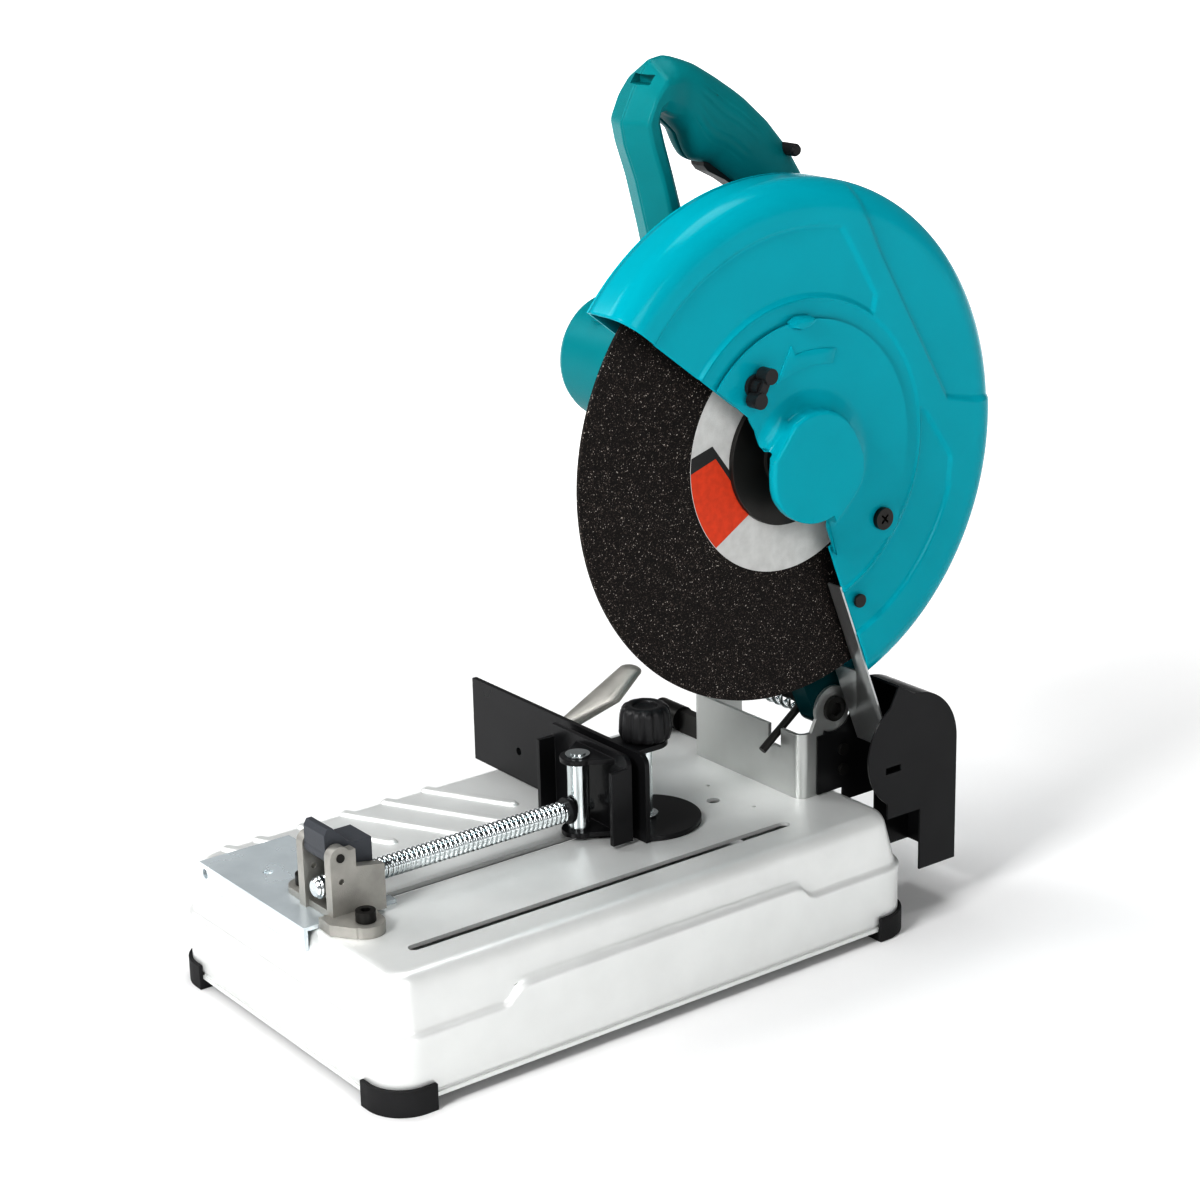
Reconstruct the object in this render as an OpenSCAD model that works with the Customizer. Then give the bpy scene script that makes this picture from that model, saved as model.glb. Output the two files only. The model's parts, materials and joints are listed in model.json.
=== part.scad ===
// Portable abrasive cut-off saw for metal: pressed steel base with a sliding vise,
// and a spring-raised head that carries the motor, wheel, guard and D-handle.
// +X is the wheel side, -Y the operator's side, +Z up; the origin is on the floor
// under the centre of the base.

/* [Base] */
// Length of the base, front to rear
base_l = 458; // [440:2:480]
// Width of the base
base_w = 284; // [276:2:296]
// Height of the table above the floor
table_z = 94; // [90:1:98]
// Corner radius of the base in plan
base_r = 26; // [20:1:32]
// Sheet thickness of the base
base_t = 3; // [2:0.5:4]

/* [Wheel] */
// Outer diameter of the cutting wheel
wheel_d = 355; // [300:5:355]
// Thickness of the cutting wheel
wheel_t = 3; // [2.5:0.5:3.5]
// Bore of the cutting wheel
wheel_bore = 25.4; // [25.4:0.1:25.4]
// Middle plane of the cutting wheel, from the centre of the base
wheel_x = 98; // [96:0.5:99]

/* [Head] */
// Height of the tilt axis above the floor
tilt_z = 160; // [158:1:162]
// Tilt axis behind the centre of the base
tilt_y = 212; // [210:1:214]
// Spindle behind the centre of the base, head raised
spindle_y = 141; // [139:1:143]
// Spindle above the floor, head raised
spindle_z = 373; // [371:1:375]
// Outer radius of the wheel guard
guard_r = 191; // [189:1:193]
// Radius of the motor housing
motor_r = 47; // [46:1:48]

/* [Vise] */
// Outer diameter of the vise screw
screw_d = 16; // [14:1:17]
// Height of the screw's axis above the table
screw_h = 22; // [20:1:24]
// Height of the guide plate above the table
fence_h = 67; // [60:1:70]

/* [Hidden] */
$fn = 64;
e = 0.01;                  // overlap that makes a cut go right through
gap = 0.3;                 // clearance between curved faces of moving pieces
fit = 0.05;                // radial clearance of a running fit

// base
sole_z = 11;               // lower edge of the pressed wall
bead_z = 54;               // top of the outer step
shoulder_z = table_z - 7;
upper_inset = 3;
shoulder_inset = 10.5;
table_inset = 14;

// saw head
wheel_r = wheel_d / 2;
motor_y = 128;             // motor axis beside the spindle, gears in mesh
motor_z = 416;
gear_teeth = 60;
pinion_teeth = 12;
gear_module = 2 * norm([spindle_y - motor_y, motor_z - spindle_z])
    / (gear_teeth + pinion_teeth);
guard_back_x = 76;
guard_face_x = 118;
sheet = 1.6;
cover_r = 98;
flange_r = 50;              // clamping flanges of the wheel
cover_pin = [214, 317];    // y, z of the centre cover's hinge screw
wing = [96, 432];          // y, z of the wing bolt
cap_dir = 122;             // brush caps, degrees from +Y towards +Z
cap_x = -50;
grip_x = 15;               // split plane of the handle

// vise and guide plate
screw_z = table_z + screw_h;
post = [18, 16];           // x, y of the vise plate's pin
jaw_back = 36;             // rear face of the vise plate
fence_y = 43;              // front face of the guide plate
fence_pin = [28, 70];      // x, y of the guide plate's clamp screw
fence_turn = 15;
lever_pin = [-118, 62];    // x, y of the lock lever's stud

// ---- shared shapes ----

// Cylinders along each axis
module xcyl(x0, x1, c, r) {
    translate([x0, c[0], c[1]]) rotate([0, 90, 0]) cylinder(h = x1 - x0, r = r);
}
module ycyl(y0, y1, c, r) {
    translate([c[0], y0, c[1]]) rotate([-90, 0, 0]) cylinder(h = y1 - y0, r = r);
}
module zcyl(z0, z1, c, r) {
    translate([c[0], c[1], z0]) cylinder(h = z1 - z0, r = r);
}

// Box between two corners
module block(lo, hi) {
    translate(lo) cube(hi - lo);
}

// Ring along X: a washer, bearing or core
module xring(x0, x1, c, outer, inner) {
    difference() {
        xcyl(x0, x1, c, outer);
        xcyl(x0 - 1, x1 + 1, c, inner);
    }
}

// Outline drawn in (y, z), carried along X
module along_x(x0, x1) {
    translate([x0, 0, 0]) rotate([90, 0, 90]) linear_extrude(x1 - x0) children();
}

// Outline drawn in (x, z), carried along Y
module along_y(y0, y1) {
    translate([0, y1, 0]) rotate([90, 0, 0]) linear_extrude(y1 - y0) children();
}

// Profile of (radius, distance), turned about an axis along +X from x0
module turned_x(x0, c) {
    translate([x0, c[0], c[1]]) rotate([0, 90, 0]) rotate_extrude($fn = 96) children();
}

// Rectangle with round corners, centred
module rounded(w, l, r) {
    square([w - 2 * r, l], center = true);
    square([w, l - 2 * r], center = true);
    for (sx = [-1, 1], sy = [-1, 1])
        translate([sx * (w / 2 - r), sy * (l / 2 - r)]) circle(r);
}

// Slot with round ends along Y
module slot_y(x, y0, y1, half) {
    translate([x - half, y0 + half]) square([2 * half, y1 - y0 - 2 * half]);
    for (y = [y0 + half, y1 - half]) translate([x, y]) circle(half);
}

// ---- base ----

spindle_c = [spindle_y, spindle_z];
tilt = [tilt_y, tilt_z];
motor = [motor_y, motor_z];

// Thin plate of the base's outline, used to blend one level into the next
module base_level(inset, z) {
    translate([0, 0, z]) linear_extrude(e)
        rounded(base_w - 2 * inset, base_l - 2 * inset, base_r - min(inset, base_r - 10));
}

// Solid of the pressed base, shrunk by t all round for its inside
module base_block(t) {
    translate([0, 0, sole_z - t]) linear_extrude(bead_z - sole_z)
        rounded(base_w - 2 * t, base_l - 2 * t, base_r - t);
    hull() {
        base_level(upper_inset + t, bead_z - t - 1);
        base_level(shoulder_inset + t, shoulder_z - t);
    }
    hull() {
        base_level(shoulder_inset + t, shoulder_z - t);
        base_level(table_inset + t, table_z - t - e);
    }
}

module base_shell() {
    color("gainsboro") difference() {
        base_block(0);
        base_block(base_t);
        // kerf slot for the wheel and guide slot for the vise
        translate([0, 0, table_z - 10]) linear_extrude(20) {
            slot_y(wheel_x, -183, 146, 4.5);
            slot_y(post[0], -150, 32, 4);
        }
        // tapped holes for the guide plate, front and rear position
        zcyl(table_z - 10, table_z + 1, fence_pin, 5);
        zcyl(table_z - 10, table_z + 1, fence_pin + [2, 61], 5);
        // arc for the lock lever's stud
        for (a = [0:1.5:fence_turn + 3])
            translate([fence_pin[0], fence_pin[1], 0]) rotate([0, 0, a - 1.5])
                translate(concat(lever_pin - fence_pin, [0])) zcyl(table_z - 10, table_z + 1, [0, 0], 5);
        // bench bolt hole and vise bolt holes
        zcyl(table_z - 10, table_z + 1, [-108, 200], 4.5);
        for (x = [-21, 57]) zcyl(table_z - 10, table_z + 1, [x, -190], 4);
    }
}

// Rubber foot on one corner: a pad under the wall and a lip up its outside
foot_hole = [126, 213];
foot_hole_r = 3.5;
module foot(sx, sy) {
    reach = 44;
    color("#2b2b2b") intersection() {
        union() {
            linear_extrude(sole_z) difference() {
                rounded(base_w + 6, base_l + 6, base_r + 3);
                rounded(base_w - 68, base_l - 68, 6);
                translate([sx * foot_hole[0], sy * foot_hole[1]]) circle(foot_hole_r);
            }
            linear_extrude(sole_z + 8) difference() {
                rounded(base_w + 6, base_l + 6, base_r + 3);
                rounded(base_w, base_l, base_r);
            }
        }
        translate([sx * (base_w / 2 + 10), sy * (base_l / 2 + 10), 0])
            cube([2 * reach, 2 * reach, 60], center = true);
    }
}
module foot_front_right() foot(1, -1);
module foot_front_left() foot(-1, -1);
module foot_rear_right() foot(1, 1);
module foot_rear_left() foot(-1, 1);

// ---- tilt hinge ----

bracket_x = [-55, 72];
bracket_y = [180, 228];
bracket_t = 3;
bracket_z = 145;

module bracket_ear(x) {
    along_x(x, x + bracket_t) {
        translate(tilt) circle(17);
        polygon([[bracket_y[0] + 8, bracket_z - 6], [bracket_y[1], bracket_z - 6],
            [tilt_y + 15, tilt_z - 8], [tilt_y - 16, tilt_z - 5]]);
    }
}

module hinge_bracket() {
    mid = (bracket_x[0] + bracket_x[1]) / 2;
    wide = bracket_x[1] - bracket_x[0];
    color("#b9bcb8") difference() {
        union() {
            // front wall and sides, bent from one sheet
            translate([mid, 0, table_z]) linear_extrude(bracket_z - table_z) difference() {
                translate([0, bracket_y[0] + 30]) rounded(wide, 60, 8);
                translate([0, bracket_y[0] + 33]) rounded(wide - 2 * bracket_t, 60, 5);
                translate([-wide, bracket_y[1]]) square([2 * wide, 60]);
            }
            bracket_ear(bracket_x[0]);
            bracket_ear(bracket_x[1] - bracket_t);
            // foot welded to the table
            block([bracket_x[0] + bracket_t, bracket_y[0] + bracket_t, table_z],
                [bracket_x[1] - bracket_t, bracket_y[1], table_z + bracket_t]);
        }
        xcyl(-80, 90, tilt, 6 + fit);
        // notch for the stop lever
        block([36, 170, 130], [50, 190, 160]);
        for (z = [126, 110]) xcyl(60, 90, [220, z], 2.5);
    }
}

module pivot_shaft() {
    color("#4a4a48") difference() {
        union() {
            xcyl(bracket_x[0] - 14, bracket_x[1] + e, tilt, 6);
            xcyl(bracket_x[1], bracket_x[1] + 4, tilt, 9.5);
        }
        translate([bracket_x[1] + 1, tilt_y, tilt_z]) rotate([0, 90, 0]) cylinder(h = 5, r = 5.6, $fn = 6);
    }
}

module pivot_nut() {
    color("#8f9190") difference() {
        translate([bracket_x[0] - 10, tilt_y, tilt_z]) rotate([0, 90, 0]) cylinder(h = 10, r = 10.5, $fn = 6);
        xcyl(-90, 0, tilt, 6);
    }
}

// Torsion spring: centre points of the helix, then rings of points round each
spring_r = 12;
spring_wire = 1.5;
spring_turns = 8;
spring_x = [-36, 36];
spring_steps = 20;
spring_sides = 8;
function spring_point(i, j) = let(
    a = 360 * i / spring_steps, b = 360 * j / spring_sides,
    r = spring_r + spring_wire * cos(b))
    [spring_x[0] + (spring_x[1] - spring_x[0]) * i / (spring_steps * spring_turns)
        + spring_wire * sin(b),
     tilt_y - r * cos(a), tilt_z + r * sin(a)];
module return_spring() {
    rings = spring_steps * spring_turns;
    points = [for (i = [0:rings], j = [0:spring_sides - 1]) spring_point(i, j)];
    sides = [for (i = [0:rings - 1], j = [0:spring_sides - 1]) let(
        k = (j + 1) % spring_sides, a = i * spring_sides, b = a + spring_sides)
        [a + j, a + k, b + k, b + j]];
    first = [for (j = [0:spring_sides - 1]) spring_sides - 1 - j];
    last = [for (j = [0:spring_sides - 1]) rings * spring_sides + j];
    color("#b4b6b4") polyhedron(points, concat([first], sides, [last]), convexity = 10);
}

// Rod that holds the head at a set height, hung on the tilt shaft
module stop_lever() {
    color("#1d1d1d") difference() {
        union() {
            xcyl(39.5, 45.5, tilt, 9.5);
            translate([42.5, tilt_y, tilt_z]) rotate([90 + 36, 0, 0]) translate([0, 0, 8])
                cylinder(h = 46, r = 3);
        }
        xcyl(30, 60, tilt, 6 + fit);
    }
}

// ---- spark guard ----

spark_x = [bracket_x[1], 123];
module spark_side() {
    translate([246, 133]) circle(44.5);
    polygon([[221, 84], [290.5, 84], [290.5, 133], [246, 177.5], [231, 187], [221, 168]]);
    translate([254, 35]) square([36.5, 98]);
}
module spark_guard() {
    color("#161616") difference() {
        union() {
            along_x(spark_x[0], spark_x[0] + sheet) {
                spark_side();
                translate([196, table_z + 1]) square([30, 46]);
            }
            along_x(spark_x[1] - sheet, spark_x[1]) spark_side();
            along_x(spark_x[0], spark_x[1]) difference() {
                spark_side();
                translate([246, 133]) circle(44.5 - sheet);
                polygon([[190, 20], [290.5 - sheet, 20], [290.5 - sheet, 133],
                    [246, 177.5 - sheet], [231, 187 - sheet], [190, 187 - sheet]]);
            }
        }
        for (z = [126, 110]) xcyl(60, 80, [220, z], 2.5);
        // adjusting notch
        block([spark_x[1] - 5, 219, 120], [spark_x[1] + 5, 234, 125]);
        xcyl(60, 80, tilt, 18);
    }
}

module spark_guard_screws() {
    color("#222222") for (z = [126, 110]) {
        xcyl(66, spark_x[0] + sheet + e, [220, z], 2.5);
        xcyl(spark_x[0] + sheet, spark_x[0] + sheet + 3, [220, z], 4.5);
    }
}

module socket_wrench() {
    color("#1c1c1c") difference() {
        union() {
            xcyl(-126, -98, [205, table_z + 10], 10);
            block([-99, 201, table_z], [-62, 209, table_z + 18]);
        }
        translate([-127, 205, table_z + 10]) rotate([0, 90, 0]) cylinder(h = 18, r = 8, $fn = 6);
    }
}

// ---- vise ----

plate_x = [-112, 32];
module vise_base_plate() {
    front = -base_l / 2 + 8.4;
    color("#d5dde0") difference() {
        union() {
            block([plate_x[0], front, table_z], [plate_x[1], -150, table_z + 3]);
            block([plate_x[0], front - 3, table_z - 14], [plate_x[1], front, table_z + 3]);
        }
        zcyl(80, 110, [-64, -195], 3.5);
        ycyl(-240, -210, [-104, table_z - 4], 3.5);
        zcyl(80, 110, [-21, -190], 4);
        slot = 8;
        block([post[0] - slot / 2, -152, 80], [post[0] + slot / 2, -149, 110]);
    }
}

ear_x = [-4, 32];
module vise_bracket() {
    color("#9b998d") difference() {
        union() {
            // foot with a bolt lobe on each side
            translate([0, 0, table_z + 3]) linear_extrude(5) {
                translate([-21, -202]) square([53, 42]);
                translate([-21, -190]) circle(12);
            }
            translate([0, 0, table_z]) linear_extrude(8) {
                polygon([[32.3, -212], [48, -213], [64, -202], [68, -186], [60, -178], [32.3, -172]]);
                translate([57, -190]) circle(13);
            }
            for (x = ear_x) {
                along_x(x, x + 8) {
                    translate([-197, table_z + 3]) square([12, 50]);
                    translate([-197, table_z + 49]) circle(8);
                    polygon([[-205, table_z + 3], [-163, table_z + 3], [-163, table_z + 36],
                        [-185, table_z + 40], [-189, table_z + 49], [-205, table_z + 49]]);
                }
            }
        }
        xcyl(-20, 60, [-197, table_z + 49], 3 + fit);
        xcyl(-20, 60, [-197, table_z + 32], 2);
        for (x = [-21, 57]) zcyl(80, 120, [x, -190], 4);
    }
}

module vise_bracket_bolts() {
    color("#191919") for (x = [-21, 57]) difference() {
        union() {
            zcyl(table_z - 8, table_z + 8, [x, -190], 4);
            zcyl(table_z + 8, table_z + 16, [x, -190], 7);
        }
        translate([x, -190, table_z + 11]) cylinder(h = 6, r = 3.5, $fn = 6);
    }
}

module flip_nut_pin() {
    color("#2a2a2a") xcyl(ear_x[0] - 1, ear_x[1] + 9, [-197, table_z + 49], 3);
}

// Upper half nut, swung up on its pin to free the screw
module flip_nut() {
    color("#3a3c40") difference() {
        union() {
            along_x(ear_x[0] + 8.6, ear_x[1] - 0.6) {
                translate([-197, table_z + 49]) circle(7);
                polygon([[-203.5, table_z + 49], [-203.5, table_z + 64], [-201, table_z + 68],
                    [-197, table_z + 68], [-186, table_z + 56], [-182, table_z + 54], [-167, table_z + 54],
                    [-167, table_z + 36], [-192, table_z + 36]]);
            }
            // saddle that takes the thread
            translate([post[0] - 9, -190, table_z + 24]) cube([18, 21, 14]);
        }
        ycyl(-220, -150, [post[0], screw_z], screw_d / 2 + gap);
        xcyl(-20, 60, [-197, table_z + 49], 3 + fit);
    }
}

module vise_screw() {
    color("#c3cdd0") {
        ycyl(-204, 4, [post[0], screw_z], screw_d / 2);
        translate([post[0], -206, screw_z]) rotate([-90, 0, 0])
            cylinder(h = 2, r1 = screw_d / 2 - 2, r2 = screw_d / 2);
        ycyl(4 - e, 27, [post[0], screw_z], 4.5);
    }
}

module screw_collar() {
    color("#1b1b1b") difference() {
        ycyl(4, 7.5, [post[0], screw_z], 10);
        ycyl(3, 9, [post[0], screw_z], 4.5);
    }
}

ear_t = 4;
ear_low = table_z + 2.4;
ear_high = table_z + 58;
module vise_post() {
    color("#d3d9da") difference() {
        union() {
            zcyl(ear_low + ear_t + gap, ear_high - gap, post, 8);
            zcyl(ear_low - 1, ear_high + ear_t + 2.5, post, 6);
            zcyl(ear_high + ear_t + gap, ear_high + ear_t + 1.6, post, 9);
        }
        ycyl(0, 40, [post[0], screw_z], 4.5 + fit);
    }
}

jaw_x = [-36, 56];
module jaw_ear(z) {
    translate([0, 0, z]) linear_extrude(ear_t) difference() {
        union() {
            translate(post) circle(13);
            polygon([[post[0] - 13, post[1]], [post[0] + 13, post[1]],
                [post[0] + 24, jaw_back - 3], [post[0] - 24, jaw_back - 3]]);
        }
        translate(post) circle(6 + fit);
    }
}
module vise_plate() {
    top = table_z + fence_h;
    color("#1e1e1f") {
        along_y(jaw_back - 4, jaw_back) {
            translate([jaw_x[0], ear_low]) square([jaw_x[1] - jaw_x[0], top - ear_low - 8]);
            translate([jaw_x[0], ear_low]) square([jaw_x[1] - jaw_x[0] - 8, top - ear_low]);
            translate([jaw_x[1] - 8, top - 8]) circle(8);
        }
        for (x = [jaw_x[0], jaw_x[1] - 4])
            block([x, jaw_back - 18, ear_low], [x + 4, jaw_back - 3, top - 9]);
        jaw_ear(ear_low);
        jaw_ear(ear_high);
    }
}

// ---- guide plate ----

fence_x = [-155, 62];
module guide_plate() {
    low = table_z + 0.3;
    top = table_z + fence_h;
    color("#242425") difference() {
        union() {
            along_y(fence_y, fence_y + 4) {
                translate([fence_x[0], low]) square([fence_x[1] - fence_x[0] - 8, top - low]);
                translate([fence_x[0], low]) square([fence_x[1] - fence_x[0], top - low - 8]);
                translate([fence_x[1] - 8, top - 8]) circle(8);
            }
            // foot with its rounded scale end, and the arm to the lock lever
            translate([0, 0, low]) linear_extrude(4) {
                intersection() {
                    translate(fence_pin) circle(40);
                    translate([0, fence_y]) square([80, 80]);
                }
                translate([fence_x[0] + 22, fence_y + 3]) square([fence_x[1] - fence_x[0] - 30, 14]);
                translate(lever_pin) circle(14);
            }
            // upper tab under the knob
            translate([0, 0, low + 60]) linear_extrude(4) {
                translate(fence_pin) circle(16);
                translate([fence_pin[0] - 16, fence_y + 3]) square([32, fence_pin[1] - fence_y - 3]);
            }
        }
        zcyl(80, 180, fence_pin, 4.5 + fit);
        zcyl(80, 110, lever_pin, 4);
        ycyl(fence_y - 1, fence_y + 5, [-95, table_z + 24], 3);
    }
}

module clamp_screw() {
    color("#cfd6d8") {
        zcyl(table_z - 8, table_z + 68, fence_pin, 4.5);
        zcyl(table_z + 4.6, table_z + 7, fence_pin, 8.5);
    }
}

module clamp_knob() {
    low = table_z + 64.6;
    color("#1a1a1a") difference() {
        union() {
            zcyl(low, low + 20, fence_pin, 20);
            translate([fence_pin[0], fence_pin[1], low + 20]) cylinder(h = 6, r1 = 20, r2 = 16);
        }
        for (a = [0:30:330])
            translate([fence_pin[0] + 21 * cos(a), fence_pin[1] + 21 * sin(a), low - 1])
                cylinder(h = 22, r = 3);
        zcyl(low + 23, low + 27, fence_pin, 8);
        zcyl(low - 1, table_z + 68, fence_pin, 4.5);
    }
}

module lock_lever_stud() {
    color("#8c8c88") {
        zcyl(table_z - 9, table_z + 25, lever_pin, 4);
        zcyl(table_z - 9, table_z - 4, lever_pin, 6.5);
        zcyl(table_z + 23, table_z + 25, lever_pin, 7);
    }
}

// Cast lever: a hub on the stud, a rising arm and a flat paddle
module lock_lever() {
    hub = concat(lever_pin, [table_z + 14]);
    neck = hub + [12, 35, 16];
    tip = hub + [29, 84, 53];
    color("#a8a69c") difference() {
        union() {
            zcyl(table_z + 4.6, table_z + 22.6, lever_pin, 11);
            hull() {
                translate(hub) sphere(7, $fn = 20);
                translate(neck) sphere(6, $fn = 20);
            }
            hull() {
                translate(neck) sphere(6, $fn = 20);
                translate(tip - [0, 22, 16]) scale([1.7, 1, 0.6]) sphere(8, $fn = 24);
                translate(tip) scale([1.3, 1, 0.5]) sphere(8, $fn = 24);
            }
        }
        zcyl(table_z, table_z + 40, lever_pin, 4 + fit);
        zcyl(table_z + 22.6, table_z + 40, lever_pin, 12);
    }
}

// ---- gears ----

function inv_deg(r, rb) = r <= rb ? 0 : sqrt(pow(r / rb, 2) - 1) * 180 / PI - acos(rb / r);
function tooth_half(r, n, rp, rb) = 90 / n * 0.94 + inv_deg(rp, rb) - inv_deg(r, rb);
// Involute gear outline with one tooth centred on the angle given
module gear_outline(n, turn) {
    rp = gear_module * n / 2;
    rb = rp * cos(20);
    root = rp - 1.25 * gear_module;
    radii = [root, max(root + 0.2, rb), (rb + rp) / 2, rp, rp + 0.45 * gear_module,
        rp + 0.85 * gear_module];
    last = len(radii) - 1;
    polygon([for (i = [0:n - 1], j = [0:2 * last + 1]) let(
        up = j <= last, r = radii[up ? j : 2 * last + 1 - j],
        h = tooth_half(r, n, rp, rb),
        a = turn + 360 * i / n + (up ? -h : h)) [r * cos(a), r * sin(a)]]);
}

mesh_angle = atan2(motor_z - spindle_z, motor_y - spindle_y);
gear_x = [52, 66];

module driven_gear() {
    color("#8d8f92") difference() {
        along_x(gear_x[0], gear_x[1]) translate(spindle_c) gear_outline(gear_teeth, mesh_angle);
        xcyl(40, 80, spindle_c, 9);
        // holes for the shaft lock pin
        for (a = [0:90:270]) xcyl(40, 80, spindle_c + 30 * [cos(a - 100), sin(a - 100)], 4.6);
    }
}

module armature_shaft() {
    color("#a7a9ab") {
        along_x(49, 67) translate(motor) gear_outline(pinion_teeth, mesh_angle + 180 + 180 / pinion_teeth);
        xcyl(-78, 67, motor, 5);
        xcyl(-87, -78 + e, motor, 4);
    }
}

module armature_core() {
    color("#6d5a4a") xring(-38, 18, motor, 26.5, 5);
}

module commutator() {
    color("#b87333") xring(-62, -44, motor, 14, 5);
}

module cooling_fan() {
    color("#303336") {
        xring(21, 31, motor, 10, 5);
        xring(29, 31, motor, 36, 9);
        for (a = [0:36:324])
            translate([21, motor_y, motor_z]) rotate([a, 0, 0]) translate([0, 9, -0.8]) cube([9, 27, 1.6]);
    }
}

// ---- spindle and wheel ----

module spindle() {
    color("#9a9c9e") difference() {
        union() {
            xcyl(case_x[0] + 2, 50, spindle_c, 6.5);
            xcyl(50 - e, 70, spindle_c, 9);
            xcyl(70 - e, 80, spindle_c, 10);
            xcyl(79, 86, spindle_c, 16);
            xcyl(86 - e, wheel_x + 1, spindle_c, wheel_bore / 2);
        }
        xcyl(80, 110, spindle_c, 5);
    }
}

module driven_mount() {
    for (a = [45:90:315]) translate([0, spindle_c[0] + 24 * cos(a), spindle_c[1] + 24 * sin(a)]) children();
}

module inner_flange() {
    color("#2d2d2f") xring(86, wheel_x - wheel_t / 2, spindle_c, flange_r, wheel_bore / 2);
}

module cutting_wheel() {
    color("#2e2622") xring(wheel_x - wheel_t / 2, wheel_x + wheel_t / 2, spindle_c, wheel_r, wheel_bore / 2);
}

module outer_flange() {
    low = wheel_x + wheel_t / 2;
    color("#19191a") difference() {
        union() {
            xcyl(low, low + 4, spindle_c, flange_r);
            xcyl(low, low + 7, spindle_c, 22);
        }
        xcyl(low - 1, low + 1.5, spindle_c, wheel_bore / 2 + 2);
        xcyl(low - 1, low + 8, spindle_c, 5);
    }
}

module arbor_bolt() {
    low = wheel_x + wheel_t / 2 + 7;
    color("#3b3b3d") {
        xcyl(82, low + 3, spindle_c, 5);
        xcyl(low, low + 2, spindle_c, 12);
        translate([low + 2, spindle_c[0], spindle_c[1]]) rotate([0, 90, 0]) cylinder(h = 7, r = 9.8, $fn = 6);
    }
}

// ---- gear case and motor ----

case_r = 47;
case_x = [38, 69];
dir = (motor - spindle_c) / norm(motor - spindle_c);
side = [dir[1], -dir[0]];

// Two equal rounds joined by straight flanks
module case_outline(r) {
    translate(spindle_c) circle(r);
    translate(motor) circle(r);
    polygon([spindle_c + r * side, motor + r * side, motor - r * side, spindle_c - r * side]);
}

module gear_housing() {
    away = (spindle_c - tilt) / norm(spindle_c - tilt);
    flank = [away[1], -away[0]];
    color("#00a2b0") difference() {
        union() {
            along_x(case_x[0], case_x[1]) case_outline(case_r);
            // arm down to the tilt shaft
            along_x(bracket_x[1] - 22, bracket_x[1] - bracket_t - gap) {
                translate(tilt) circle(15);
                polygon([tilt + 15 * flank, spindle_c + 34 * flank, spindle_c - 34 * flank,
                    tilt - 15 * flank]);
            }
        }
        xcyl(40, 90, tilt, 6 + fit);
        // gear chamber
        along_x(49, 90) {
            translate(spindle_c) circle(41);
            translate(motor) circle(13);
        }
        // bearing seats and shaft holes
        xcyl(40, 60, spindle_c, 14);
        xcyl(30, 46, motor, 11);
        xcyl(30, 60, motor, 6.5);
        xcyl(30, 60, lock_at, 4 + fit);
        // lightening pocket in the arm
        along_x(60, 80) {
            lower = tilt + 60 * away;
            upper = tilt + 150 * away;
            polygon([lower + 11 * flank, upper + 18 * flank, upper - 18 * flank, lower - 11 * flank]);
        }
    }
}

module gear_cover() {
    color("#8e918f") difference() {
        union() {
            along_x(case_x[1], case_x[1] + 4) case_outline(case_r);
            xcyl(case_x[1], guard_back_x, spindle_c, 30);
        }
        xcyl(case_x[1] - 1, case_x[1] + 6, spindle_c, 18);
        xcyl(case_x[1] - 1, 90, spindle_c, 13);
        driven_mount() xcyl(71, 90, [0, 0], 2.5);
    }
}

module spindle_bearings() {
    color("#b8babb") {
        xring(40, 48, spindle_c, 14, 6.5 + fit);
        xring(case_x[1], case_x[1] + 6, spindle_c, 18, 10 + fit);
    }
}

motor_x = [-92, 38];
module motor_housing() {
    dome = [[0, 0], [30, 0], [38, 2], [42, 5], [45, 9], [motor_r, 14]];
    length = motor_x[1] - motor_x[0];
    color("#00a8b4") difference() {
        union() {
            turned_x(motor_x[0], motor) polygon(concat(dome, [[motor_r, length], [0, length]]));
            for (half = [0, 180]) translate([cap_x, motor_y, motor_z]) rotate([cap_dir + half, 0, 0])
                rotate([-90, 0, 0]) cylinder(h = motor_r + 2, r = 13);
        }
        xcyl(motor_x[0] + 14, 60, motor, motor_r - 3);
        xcyl(motor_x[0] + 5, 60, motor, 11);
        for (half = [0, 180]) translate([cap_x, motor_y, motor_z]) rotate([cap_dir + half, 0, 0])
            rotate([-90, 0, 0]) {
                cylinder(h = 60, r = 7.5);
                translate([0, 0, motor_r - 0.8]) cylinder(h = 10, r = 10);
            }
        // cooling slots round the dome end
        for (a = [-75:15:60]) translate([motor_x[0] + 20, motor_y, motor_z]) rotate([a, 0, 0])
            translate([0, 30, -2]) cube([14, 30, 4]);
    }
}

module brush_caps() {
    color("#20211f") for (half = [0, 180])
        translate([cap_x, motor_y, motor_z]) rotate([cap_dir + half, 0, 0]) rotate([-90, 0, 0]) difference() {
            union() {
                translate([0, 0, 26]) cylinder(h = 22, r = 7.5);
                translate([0, 0, motor_r - 0.8]) cylinder(h = 2, r = 9);
            }
            translate([-4, -3, 25]) cube([8, 6, 14]);
            translate([-8, -0.8, motor_r - 0.2]) cube([16, 1.6, 4]);
        }
}

module carbon_brushes() {
    color("#3a3a3a") for (half = [0, 180])
        translate([cap_x, motor_y, motor_z]) rotate([cap_dir + half, 0, 0])
            translate([-4, 14.6, -3]) cube([8, 24.4, 6]);
}

module stator_core() {
    color("#77706a") xring(-36, 16, motor, motor_r - 3, 27.2);
}

module motor_bearings() {
    color("#b8babb") {
        xring(38, 46, motor, 11, 5 + fit);
        xring(motor_x[0] + 5, motor_x[0] + 13, motor, 11, 4 + fit);
    }
}

lock_at = spindle_c + 30 * [cos(-100), sin(-100)];
module shaft_lock() {
    color("#1b1b1b") {
        xcyl(26, 50.5, lock_at, 4);
        xcyl(22, 30, lock_at, 8);
    }
}

// ---- guard ----

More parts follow.
